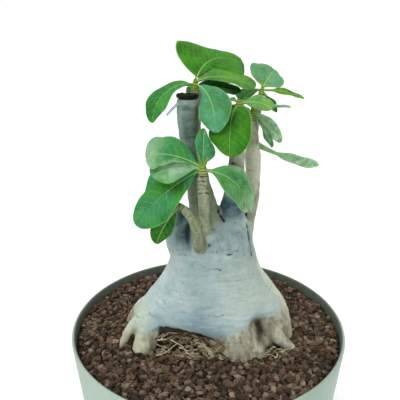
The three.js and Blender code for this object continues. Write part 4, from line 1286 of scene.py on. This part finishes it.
def front_gap(skin, points):
    """Each place's distance, as seen from the front, from a line through points of x and height."""
    flat = np.column_stack([skin.x, 0 * skin.x, skin.z])
    return limb_depth(flat, [(x, 0, z, 0) for x, z in points])[0]


def folds_and_scars(skin):
    """The folds, small scars and hollows of the front: how deep they are in mm, and how dark they are
    painted, as painted shade with the scars' own dark colour.
    """
    dents = np.zeros(len(skin.z))
    dark = np.zeros(len(skin.z))
    for points, width, depth in FOLDS:
        across = front_gap(skin, points) / (width * (0.75 + 0.5 * skin.uneven))
        near = np.exp(-(across**2)) * skin.facing
        dark = np.maximum(dark, near * min(1, 0.25 + 0.7 * depth) * (0.65 + 0.5 * skin.uneven))
        dents += near * depth * (0.5 + 0.7 * skin.uneven)
    for x, z, wide, tall, depth in SCARS_AND_HOLLOWS:
        near = spot(skin.x, skin.z, (x, z), (wide, tall)) * skin.facing
        dark = np.maximum(dark, near * min(0.9, 0.8 * depth + 0.12))
        dents += near * depth
    return dents, dark


def skin_relief(skin, wrinkle):
    """Swellings, wrinkles, ribs of the feet, rings, bands and knots of the skin, in mm."""
    waves = skin.waves
    swell = waves((24, 24, 18)) * 0.8 * skin.on_body
    swell += waves((9, 9, 7), 3) * 0.35 * (skin.on_body + 0.5 * skin.thick)
    level = np.zeros(len(skin.z))
    bent = skin.places + np.column_stack([level, level, 5 * waves((20, 20, 16), 31)])
    patches = smooth_step(-0.25, 0.35, waves((26, 26, 20), 17))
    bare = skin.on_body * (1 - skin.foot) * (skin.z > BURIED_BELOW)
    wrinkles = noise_at(bent, (13, 13, 2.2), 7) * wrinkle * (0.25 + 0.75 * patches) * bare
    ribs = 0.4 * (waves((2.8, 2.8, 12), 11) + waves((4, 4, 3), 13)) * skin.foot
    turns = skin.along / RING_SPACING + waves((5, 5, 4), 5) * 0.4
    rings = np.cos(2 * math.pi * turns) * 0.16 * skin.scar_rings
    bands = np.where(np.abs(skin.along / BAND_SPACING % 1 - 0.5) < 0.12, -0.08, 0) * skin.share["cut"]
    knots = (waves((5, 5, 5), 9) * 0.3 + waves((2.2, 2.2, 3), 19) * 0.12) * skin.limbs
    return swell + wrinkles + ribs + rings + bands + knots


def bark_masks(skin):
    """Where the skin is beige bark, dark slate (on the left shoulder partly painted shade), olive, or the dim
    grey-green of the cut trunk.
    """
    share, rise = skin.share, skin.rise
    sealed = 0.8 * skin.uneven + skin.z
    beige = np.clip(
        skin.front_bark + skin.low_bark + 0.9 * share["branch"] + share["twig"] + share["crown"]
        + share["middle"] * rise(*MIDDLE_BARK) + 0.9 * share["right"] * rise(*RIGHT_BARK)
        + share["cut"] * rise(*CUT_BARK) * rise(*CUT_BARK_END) * 0.8
        + 0.55 * rise(*SEAL_BAND) * share["cut"],
        0, 1,
    )
    # Slate on the middle trunk's base and the left shoulder: dark blue-grey skin, and on the shoulder also
    # painted shade under the leaves.
    right_slate = rise(217, 229) * smooth_step(4, 9, skin.x) * smooth_step(28, 23, skin.x) * (1 - beige)
    left_slate = rise(203, 213) * smooth_step(-11, -14.5, skin.x)
    left_slate = left_slate * (0.5 + 0.5 * smooth_step(-27, -18, skin.x))
    slate = right_slate * np.maximum(share["middle"], skin.on_body)
    slate = np.clip(slate + left_slate * np.maximum(share["shoulder"], skin.on_body), 0, 1)
    olive = np.clip(0.55 * share["cut"] * beige + 0.7 * share["low"] + 0.6 * share["front"], 0, 1)
    dim = share["cut"] * (0.4 * rise(218, 228) + 0.6 * rise(246, 258))
    return beige, slate, olive, dim * (1 - 0.5 * smooth_step(*SEAL_BAND, sealed))


def light_masks(skin, beige, dim):
    """Where the skin is warmer, cooler or duller than elsewhere: partly its own tone, and partly painted
    light and painted shade.
    """
    x, z, rise, on_body = skin.x, skin.z, skin.rise, skin.on_body
    middle_line = np.interp(z, [row[2] for row in CUT_TRUNK], [row[0] for row in CUT_TRUNK])
    trunk_side = (x - middle_line) / 7
    right_reach = np.interp(z, *np.array(CAUDEX_REACH)[:, [0, 2]].T)
    warm = np.clip(
        smooth_step(2, 34, x) * rise(158, 172) * rise(206, 196) * 0.55 * on_body
        # Painted light: paler towards the caudex's right edge.
        + smooth_step(0.93, 1.02, x / right_reach) * on_body
        # Painted shade: the cut trunk's right side, darkened in its finish.
        + smooth_step(0.3, 0.9, trunk_side) * dim
        # Painted light: paler at the left foot's outer edge.
        + smooth_step(-39, -48, x) * rise(166, 156) * (skin.y < 0) * 0.75
        # Painted light: the right trunk is made paler where leaves shade it.
        + rise(242, 250) * rise(276, 266) * skin.share["right"],
        0, 1,
    )
    cool = np.clip(
        rise(172, 156) * smooth_step(26, 0, x) * smooth_step(-46, -30, x) * on_body * 0.75
        + np.exp(-(((x + 8) / 9) ** 2)) * rise(206, 196) * on_body * 0.5
        # Painted light: the cut trunk's left side, which faces the light, is made paler.
        + smooth_step(-0.2, -0.8, trunk_side) * dim,
        0, 1,
    )
    shade = smooth_step(200, 209, z + 0.012 * x**2) * np.maximum(on_body, skin.share["cut"] * (1 - beige))
    shade = np.maximum(shade, 0.34 * rise(174, 189) * on_body)
    # Painted shade: darker beside the cavity at the front right.
    shade = np.maximum(shade, 0.9 * spot(x, z, (42, 150.5), (5.5, 4)) * (skin.y < -10))
    return warm, cool, shade


def wood_mesh(look):
    """Caudex, feet, roots, trunks and stems: one skin, wrinkled, ringed, scarred and painted."""
    mesh = fused_wood(look)
    skin = WoodSkin(mesh)
    hollow, hollow_dark = arch_hollow(skin)
    dents, fold_dark = folds_and_scars(skin)
    offset = skin_relief(skin, look.wrinkle / MM) - dents - hollow
    offset[(skin.z > 302.5) & (skin.share["cut"] > 0.5)] = 0
    place_vertices(mesh, skin.places + skin.normals * offset[:, None])
    beige, slate, olive, dim = bark_masks(skin)
    warm, cool, shade = light_masks(skin, beige, dim)
    scarred = np.clip(skin.scar_rings, 0, 1)
    # Painted shade of the folds, scars and hollows, kept with the bark masks.
    crease = np.maximum(fold_dark, hollow_dark)
    ones = np.ones(len(skin.z))
    store(mesh, "bark", "FLOAT_COLOR", np.column_stack([beige, scarred, crease, skin.foot]))
    store(mesh, "skin", "FLOAT_COLOR", np.column_stack([slate, olive, dim, ones]))
    store(mesh, "cast", "FLOAT_COLOR", np.column_stack([warm, cool, shade, ones]))
    store(mesh, "limb", "FLOAT", skin.along)
    mesh.shade_smooth()
    return mesh


def feeder_mesh(look, wood):
    """A tangle of thin dry roots under the arch at the front of the base, and a few beside the right foot."""
    draw = random.Random(look.seed + 1)
    tree = surface_tree(wood)
    bm = bmesh.new()
    shades = []
    for thinning, (left, right), (low, high), (least, most) in FEEDER_BUNDLES:
        for _ in range(look.strands // thinning):
            x = draw.uniform(left, right)
            under_lip = float(np.interp(x, *np.array(ARCH_LIP).T)) - 6
            top = min(high, under_lip) if x < ARCH_LIP[-1][0] else high
            z = draw.uniform(low, top)
            heading = draw.gauss(0, 0.5)
            climb = draw.gauss(-0.1, 0.24)
            radius = draw.uniform(0.32, 0.9)
            stride = draw.uniform(least, most) / (FEEDER_ROWS - 1)
            rows = []
            for step in range(FEEDER_ROWS):
                front = tree.ray_cast(Vector((x, -100, z)) * MM, Vector((0, 1, 0)))[0]
                skin = front.y / MM if front is not None else FEEDER_SLOPE[1]
                slope = lerp(*FEEDER_SLOPE[:2], min(1, (z - GRAVEL_TOP) / FEEDER_SLOPE[2]))
                y = max(min(skin, slope), FEEDER_FRONT) - radius * draw.uniform(-0.4, 1.3)
                rows.append((x, y, z, radius * (1 - 0.1 * step)))
                x += stride * math.cos(heading)
                z += stride * (math.sin(climb) + draw.uniform(-0.3, 0.3))
                z = min(max(z, GRAVEL_TOP - 0.5), top + 1)
                heading += draw.gauss(0, 0.25)
                climb += draw.gauss(0, 0.4)
            add_limb(bm, rows, sides=7, per_row=2)
            shades += [draw.random()] * (len(bm.verts) - len(shades))
    mesh = mesh_from(bm, "feeder_roots")
    store(mesh, "strand", "FLOAT", shades)
    mesh.shade_smooth()
    return mesh


def dry_stalk_mesh():
    """The bare dry stalk that leans away from the cut end."""
    bm = bmesh.new()
    add_limb(bm, DRY_STALK, sides=16)
    mesh = mesh_from(bm, "dry_stalk")
    places = vertex_places(mesh)
    knots = noise_at(places, (1.5, 1.5, 1.5)) * 0.12
    away = places - np.array([row[:3] for row in DRY_STALK], float).mean(axis=0)
    away[:, 0] = 0
    place_vertices(mesh, places + away / np.linalg.norm(away, axis=1)[:, None] * knots[:, None])
    plain_skin = np.zeros((len(places), 4))
    scarred = np.array([0, 0.4, 0, 0])
    store(mesh, "bark", "FLOAT_COLOR", plain_skin + scarred)
    store(mesh, "skin", "FLOAT_COLOR", plain_skin)
    store(mesh, "cast", "FLOAT_COLOR", plain_skin)
    store(mesh, "limb", "FLOAT", -places[:, 0])
    mesh.shade_smooth()
    return mesh


def seal_mesh():
    """Black wound paste on the cut end: a dished disc with a thick, lumpy rolled edge."""
    bm = spun(SEAL_PROFILE, 72)
    bmesh.ops.subdivide_edges(bm, edges=bm.edges[:], cuts=1, use_grid_fill=True)
    bmesh.ops.recalc_face_normals(bm, faces=bm.faces)
    mesh = mesh_from(bm, "wound_seal")
    places = vertex_places(mesh)
    free = smooth_step(0, 0.6, places[:, 2])
    lumps = (noise_at(places, (2.6, 2.6, 2)) * 0.35 + noise_at(places, (1.1, 1.1, 1), 4) * 0.14) * free
    places = places + vertex_normals(mesh) * lumps[:, None]
    x, y, z = CUT_TRUNK[-1][:3]
    place_vertices(mesh, places + np.array([x, y, z + TIP_GAP]))
    mesh.shade_smooth()
    return mesh


# Leaves
def leaf_axes(leaf, along):
    """Forward, side and upper-face directions along the midrib, one row for each share of its length."""
    heading = np.radians(leaf["heading"] + leaf["bend"] * along)
    rise = np.radians(leaf["rise"] + leaf["droop"] * along)
    roll = np.radians(leaf["roll"] + leaf["twist"] * along)[:, None]
    level = np.column_stack([-np.sin(heading), np.cos(heading), np.zeros(len(along))])
    outward = np.column_stack([np.cos(heading), np.sin(heading), np.zeros(len(along))])
    forward = outward * np.cos(rise)[:, None] + np.array([0, 0, 1]) * np.sin(rise)[:, None]
    side = level * np.cos(roll) + np.cross(forward, level) * np.sin(roll)
    return forward, side, np.cross(forward, side)


def leaf_grid():
    """A closed thin slab of the leaf's rows and columns: x runs along it, y across, z is its upper face."""
    bm = bmesh.new()
    bmesh.ops.create_grid(bm, x_segments=LEAF_ROWS, y_segments=LEAF_COLUMNS, size=1)
    made = bmesh.ops.extrude_face_region(bm, geom=bm.faces[:], use_keep_orig=True)["geom"]
    upper = [item for item in made if isinstance(item, bmesh.types.BMVert)]
    bmesh.ops.translate(bm, verts=upper, vec=(0, 0, 1))
    bmesh.ops.recalc_face_normals(bm, faces=bm.faces)
    return bm


def leaf_halves(leaf, along, across, seed):
    """Half the blade's width at each place, with a slightly uneven edge."""
    blade = np.clip((along - STALK_SHARE) / (1 - STALK_SHARE), 0, 1)
    power = math.log(0.5) / math.log(leaf["belly"])
    spread = np.sin(math.pi * blade**power).clip(0, 1) ** (BASE_SLIMNESS - TIP_ROUNDNESS * blade)
    half = np.maximum(np.where(along < 0.5, STALK_WIDTH, TIP_WIDTH), spread * leaf["width"]) / 2
    left, right = (
        np.interp(along, np.linspace(0, 1, len(leaf[key])), leaf[key]) for key in ("left", "right")
    )
    half = half * np.where(across > 0, left, right)
    edge_places = np.column_stack([along * 7, np.sign(across) * 5, np.full(len(along), seed)])
    return half * (1 + 0.035 * noise_at(edge_places, (1, 1, 1)) * (along > 0.15))


def leaf_lift(look, leaf, along, across, half, seed):
    """Height of the blade's middle layer over its flat: fold, arch, waves, puckers and quilting, in mm."""
    share = np.abs(across)
    span = share * half
    reached = along * leaf["length"]
    ripple = np.sin(2 * math.pi * (leaf["waves"] * along + leaf["phase"]) + np.where(across > 0, 2, 0))
    lift = share * half * math.sin(math.radians(leaf["fold"])) - leaf["arch"] * half * across**2
    lift += leaf["wave"] * ripple * across**2 * np.minimum(1, half / 4)
    pucker_places = np.column_stack([reached, across * half, np.full(len(along), 3.0 * seed)])
    puckers = noise_at(pucker_places, (7, 5, 1))
    roomy = np.minimum(1, half / 5) * smooth_step(0.1, 0.3, along)
    lift += puckers * (0.35 + 1.5 * leaf["crinkle"] * smooth_step(0.35, 0.8, share)) * roomy * share
    vein = (reached - VEIN_SWEEP * span - VEIN_BOW * span**2) / VEIN_SPACING
    between = np.sin(math.pi * (vein % 1)) ** 0.7
    quilting = look.quilting / MM
    lift += quilting * between * roomy * smooth_step(0.04, 0.2, share) * smooth_step(1, 0.75, share)
    return lift - 0.3 * np.exp(-((span / 0.8) ** 2)) * np.minimum(1, half / 4)


def add_leaf(bm, look, leaf, base, seed):
    """Shapes one leaf into the bmesh and gives back its blade places and tones, one row a vertex."""
    grid = leaf_grid()
    rows = np.array([round((vert.co.x + 1) / 2 * LEAF_ROWS) for vert in grid.verts])
    across = np.array([vert.co.y for vert in grid.verts])
    upper = np.array([vert.co.z > 0.5 for vert in grid.verts])
    stations = 1 - (1 - np.arange(LEAF_ROWS + 1) / LEAF_ROWS) ** 1.3
    steps = np.diff(stations)
    forward = leaf_axes(leaf, (stations[1:] + stations[:-1]) / 2)[0] * steps[:, None] * leaf["length"]
    midrib = np.array(base, float) + np.vstack([np.zeros(3), np.cumsum(forward, axis=0)])
    _, sides, normals = leaf_axes(leaf, stations)
    along = stations[rows]
    share = np.abs(across)
    half = leaf_halves(leaf, along, across, seed)
    lift = leaf_lift(look, leaf, along, across, half, seed)
    thin = 0.5 * look.leaf_thickness / MM * (1 - 0.45 * smooth_step(0.6, 1, share))
    keel = 0.8 * np.exp(-((share * half / 0.75) ** 2)) * (1 - 0.75 * along)
    lift += np.where(upper, thin, -thin - keel)
    outward = across * half * math.cos(math.radians(leaf["fold"]))
    places = midrib[rows] + sides[rows] * outward[:, None] + normals[rows] * lift[:, None]
    for vert, place in zip(grid.verts, places):
        vert.co = Vector(place) * MM
    bmesh.ops.recalc_face_normals(grid, faces=grid.faces)
    add_mesh(bm, mesh_from(grid, "leaf"))
    margin = np.maximum(smooth_step(0.6, 0.95, along), 0.8 * smooth_step(0.45, 0.9, share) * (across > 0))
    tones = np.zeros((len(along), 7))
    tones[:, 0] = leaf["teal"]
    tones[:, 1] = (leaf["pale"] + leaf["faded"] * margin * smooth_step(0.2, 0.4, along)).clip(0, 1)
    tones[:, 2] = leaf["gold"]
    tones[:, 3] = np.where(upper, 0, 1)
    tones[:, 4] = leaf["dark"]
    tones[:, 5] = leaf["faint"]
    return np.column_stack([along * leaf["length"], across * half, share]), tones


def shoot_mesh(look, name, stem, leaves, length, seed):
    """One green tip with all its leaves."""
    end = np.array(stem[-1][:3], float)
    way = end - np.array(stem[-2][:3], float)
    way /= np.linalg.norm(way)
    radius = stem[-1][3]
    tip = [
        (*(end + way * TIP_GAP), radius),
        (*(end + way * length * 0.5), 0.85 * radius),
        (*(end + way * length), 0.35 * radius),
    ]
    foot, top = np.array(tip[0][:3]), np.array(tip[2][:3])
    bm = bmesh.new()
    add_limb(bm, tip, sides=20)
    count = len(bm.verts)
    reached = [(Vector(vert.co) / MM - Vector(foot)).dot(Vector(way)) for vert in bm.verts]
    blades = [np.column_stack([reached, np.full(count, 2.0), np.full(count, -1.0)])]
    tones = [np.zeros((count, 7))]
    for number, options in enumerate(leaves):
        leaf = {**LEAF_DEFAULTS, **options}
        blade, tone = add_leaf(bm, look, leaf, lerp(foot, top, leaf["at"]), seed * 10 + number)
        blades.append(blade)
        tones.append(tone)
    mesh = mesh_from(bm, name)
    tones = np.vstack(tones)
    store(mesh, "blade", "FLOAT_VECTOR", np.vstack(blades))
    store(mesh, "leaf_tone", "FLOAT_COLOR", tones[:, :4])
    store(mesh, "leaf_dark_and_faint", "FLOAT_VECTOR", tones[:, 4:])
    mesh.shade_smooth()
    mesh.set_sharp_from_angle(angle=math.radians(55))
    return mesh


# Stage
def light_tent(look):
    """Soft light from all round, bright behind and above and dimmer in front; looks white on every side."""
    world = bpy.data.worlds.new("light_tent")
    world.use_nodes = True
    tree = world.node_tree
    way = tree.nodes.new("ShaderNodeSeparateXYZ")
    tree.links.new(tree.nodes.new("ShaderNodeTexCoord").outputs["Generated"], way.inputs["Vector"])
    level = None
    for axis, low, high, value in (("Y", 0.1, 0.6, look.backdrop), ("Z", 0.25, 0.8, look.overhead)):
        rise = tree.nodes.new("ShaderNodeMapRange")
        rise.interpolation_type = "SMOOTHSTEP"
        tree.links.new(way.outputs[axis], rise.inputs["Value"])
        rise.inputs["From Min"].default_value = low
        rise.inputs["From Max"].default_value = high
        blend = tree.nodes.new("ShaderNodeMix")
        tree.links.new(rise.outputs["Result"], blend.inputs[0])
        blend.inputs[2].default_value = look.front
        if level is not None:
            tree.links.new(level, blend.inputs[2])
        blend.inputs[3].default_value = value
        level = blend.outputs[0]
    seen = tree.nodes.new("ShaderNodeMix")
    tree.links.new(tree.nodes.new("ShaderNodeLightPath").outputs["Is Camera Ray"], seen.inputs[0])
    tree.links.new(level, seen.inputs[2])
    seen.inputs[3].default_value = look.backdrop
    sky = tree.nodes["Background"]
    sky.inputs["Color"].default_value = (1, 1, 1, 1)
    tree.links.new(seen.outputs[0], sky.inputs["Strength"])
    return world


def place_floor(scene, look):
    bm = bmesh.new()
    bmesh.ops.create_grid(bm, x_segments=1, y_segments=1, size=FLOOR_REACH * MM)
    floor = bpy.data.objects.new("studio_floor", mesh_from(bm, "studio_floor"))
    floor.data.materials.append(floor_finish(look))
    scene.collection.objects.link(floor)


def place_key_light(scene, look):
    sun = bpy.data.lights.new("soft_key", "SUN")
    sun.energy = look.key_strength
    sun.angle = look.key_spread
    lamp = bpy.data.objects.new("soft_key", sun)
    lamp.rotation_euler = Vector(KEY_AIM).to_track_quat("-Z", "Y").to_euler()
    scene.collection.objects.link(lamp)


def place_camera(scene):
    camera = bpy.data.objects.new("camera", bpy.data.cameras.new("camera"))
    camera.data.lens = CAMERA_LENS
    camera.data.sensor_width = CAMERA_SENSOR
    camera.data.clip_start = CAMERA_NEAR * MM
    camera.location = [c * MM for c in CAMERA_PLACE]
    camera.rotation_euler = (math.radians(90 - CAMERA_DIP), 0, 0)
    scene.collection.objects.link(camera)
    scene.camera = camera


# Settings that a user would change
def colour_setting(name, description, code):
    return bpy.props.FloatVectorProperty(
        name=name, description=description, default=srgb(code), size=4, min=0, max=1, subtype="COLOR"
    )


def length_setting(name, description, millimetres, least=0):
    return bpy.props.FloatProperty(
        name=name, description=description, default=millimetres * MM, min=least * MM, unit="LENGTH"
    )


def light_setting(name, description, strength):
    return bpy.props.FloatProperty(name=name, description=description, default=strength, min=0)


def count_setting(name, description, count, least=0):
    return bpy.props.IntProperty(name=name, description=description, default=count, min=least)


class DesertRosePot(bpy.types.PropertyGroup):
    pot_colour: colour_setting("Pot colour", "Main colour of the pot", "a3b9aa")
    pot_shade: colour_setting("Pot shade", "Darker colour of the pot, in soft clouds", "96ad9d")
    segments: count_setting("Pot segments", "Steps around the pot", 168, least=24)


class DesertRoseGravel(bpy.types.PropertyGroup):
    spacing: length_setting("Stone spacing", "Spacing of the lava stones", 3.7, least=2)
    seed: count_setting("Seed", "Seed of the stones' scatter", 7)


class DesertRoseWood(bpy.types.PropertyGroup):
    skin_colour: colour_setting("Skin", "Skin of the caudex", "9bb4b3")
    skin_pale: colour_setting("Pale skin", "Pale patches of the skin", "b8cac8")
    # Colour of the slate: dark blue-grey skin, and on the left shoulder also painted shade.
    skin_blue: colour_setting("Blue skin", "Smooth dark skin below the cut", "64808a")
    wrinkle: length_setting("Wrinkles", "Depth of the skin's wrinkles", 0.45)
    voxel: length_setting("Skin detail", "Size of the skin's faces", 1, least=0.5)
    strands: count_setting("Feeder roots", "Number of thin roots under the arch", 110)
    seed: count_setting("Seed", "Seed of the thin roots", 11)


class DesertRoseLeaves(bpy.types.PropertyGroup):
    leaf_deep: colour_setting("Deep green", "Darker green of the leaves", "1f6a17")
    leaf_bright: colour_setting("Bright green", "Brighter green of the leaves", "3c8f1e")
    # The teal goes on in patches, partly as painted sheen.
    leaf_teal: colour_setting("Teal", "Bluish green of waxy leaves", "43966a")
    leaf_thickness: length_setting("Leaf thickness", "Thickness of the blades", 0.8, least=0.3)
    quilting: length_setting("Quilting", "Rise of the blade between its veins", 0.28)


class DesertRoseStage(bpy.types.PropertyGroup):
    floor_colour: colour_setting("Floor colour", "Colour of the studio floor", "f7f7f6")
    key_strength: light_setting("Key light", "Strength of the main light", 1.2)
    key_spread: bpy.props.FloatProperty(
        name="Key spread", description="Width of the main light as seen from the plant",
        default=math.radians(KEY_SPREAD), min=0, subtype="ANGLE",
    )
    backdrop: light_setting("Backdrop", "Brightness of the backdrop", 1.0)
    overhead: light_setting("Overhead", "Brightness of the light from above", 0.9)
    front: light_setting("Front", "Brightness behind the camera", 0.5)


# Operators, one for each piece
class BuildPot(bpy.types.Operator):
    """Builds the round plastic pot"""

    bl_idname = "desert_rose.pot"
    bl_label = "Pot"

    def execute(self, context):
        look = context.scene.desert_rose_pot
        pot = new_object("fine_pot", pot_mesh(look.segments), pot_finish(look))
        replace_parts(pot, "pot")
        return {"FINISHED"}


class BuildWood(bpy.types.Operator):
    """Builds the caudex, stems, dry stalk and thin roots"""

    bl_idname = "desert_rose.wood"
    bl_label = "Caudex and stems"

    def execute(self, context):
        look = context.scene.desert_rose_wood
        bark = bark_finish(look)
        wood = new_object("fine_wood", wood_mesh(look), bark)
        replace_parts(wood, "caudex_and_stems")
        new_object("dry_stalk", dry_stalk_mesh(), bark)
        new_object("feeder_roots", feeder_mesh(look, wood), root_finish())
        return {"FINISHED"}


class BuildSeal(bpy.types.Operator):
    """Builds the wound paste on the cut end"""

    bl_idname = "desert_rose.seal"
    bl_label = "Wound seal"

    def execute(self, context):
        seal = new_object("fine_wound_seal", seal_mesh(), paste_finish())
        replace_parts(seal, "wound_seal")
        return {"FINISHED"}


class BuildFill(bpy.types.Operator):
    """Finishes the potting mix and strews the lava stones"""

    bl_idname = "desert_rose.fill"
    bl_label = "Soil and gravel"

    def execute(self, context):
        look = context.scene.desert_rose_gravel
        for name, finish in (("potting_mix", soil_finish()), ("lava_gravel", grit_bed_finish())):
            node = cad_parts[name]
            node.data.materials.clear()
            node.data.materials.append(finish)
        finish = lava_finish()
        for name, layer in GRAVEL_LAYERS.items():
            stones = gravel_mesh(look, layer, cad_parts["lava_gravel"], bpy.data.objects["fine_wood"])
            new_object(name, stones, finish)
        return {"FINISHED"}


class BuildShoots(bpy.types.Operator):
    """Builds the leafy shoots"""

    bl_idname = "desert_rose.shoots"
    bl_label = "Shoots"

    def execute(self, context):
        look = context.scene.desert_rose_leaves
        finish = leaf_finish(look)
        for seed, (name, stem, leaves, length) in enumerate(SHOOTS, start=1):
            mesh = shoot_mesh(look, name, stem, leaves, length, seed)
            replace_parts(new_object(f"fine_{name}", mesh, finish), name)
        return {"FINISHED"}


class SetStage(bpy.types.Operator):
    """Sets the pale floor, the lights and the camera"""

    bl_idname = "desert_rose.stage"
    bl_label = "Stage"

    def execute(self, context):
        look = context.scene.desert_rose_stage
        place_floor(context.scene, look)
        context.scene.world = light_tent(look)
        place_key_light(context.scene, look)
        place_camera(context.scene)
        context.scene.view_settings.view_transform = "Standard"
        return {"FINISHED"}


class DesertRosePanel(bpy.types.Panel):
    """Lists the plant's settings and its building steps"""

    bl_idname = "VIEW3D_PT_desert_rose"
    bl_label = "Desert Rose"
    bl_space_type = "VIEW_3D"
    bl_region_type = "UI"
    bl_category = "Desert Rose"

    def draw(self, context):
        for group in GROUPS:
            settings = getattr(context.scene, group)
            for key in settings.bl_rna.properties.keys():
                if key not in ("rna_type", "name"):
                    self.layout.prop(settings, key)
        for operator in OPERATORS:
            self.layout.operator(operator.bl_idname)


GROUPS = {
    "desert_rose_pot": DesertRosePot,
    "desert_rose_gravel": DesertRoseGravel,
    "desert_rose_wood": DesertRoseWood,
    "desert_rose_leaves": DesertRoseLeaves,
    "desert_rose_stage": DesertRoseStage,
}
OPERATORS = (BuildPot, BuildWood, BuildSeal, BuildFill, BuildShoots, SetStage)


def register():
    for group in (*GROUPS.values(), *OPERATORS, DesertRosePanel):
        bpy.utils.register_class(group)
    for name, group in GROUPS.items():
        setattr(bpy.types.Scene, name, bpy.props.PointerProperty(type=group))


def unregister():
    for name in GROUPS:
        delattr(bpy.types.Scene, name)
    for group in reversed((*GROUPS.values(), *OPERATORS, DesertRosePanel)):
        bpy.utils.unregister_class(group)


def main():
    register()
    bpy.ops.desert_rose.pot()
    bpy.ops.desert_rose.wood()
    bpy.ops.desert_rose.seal()
    bpy.ops.desert_rose.fill()
    bpy.ops.desert_rose.shoots()
    bpy.ops.desert_rose.stage()


if __name__ == "__main__":
    main()
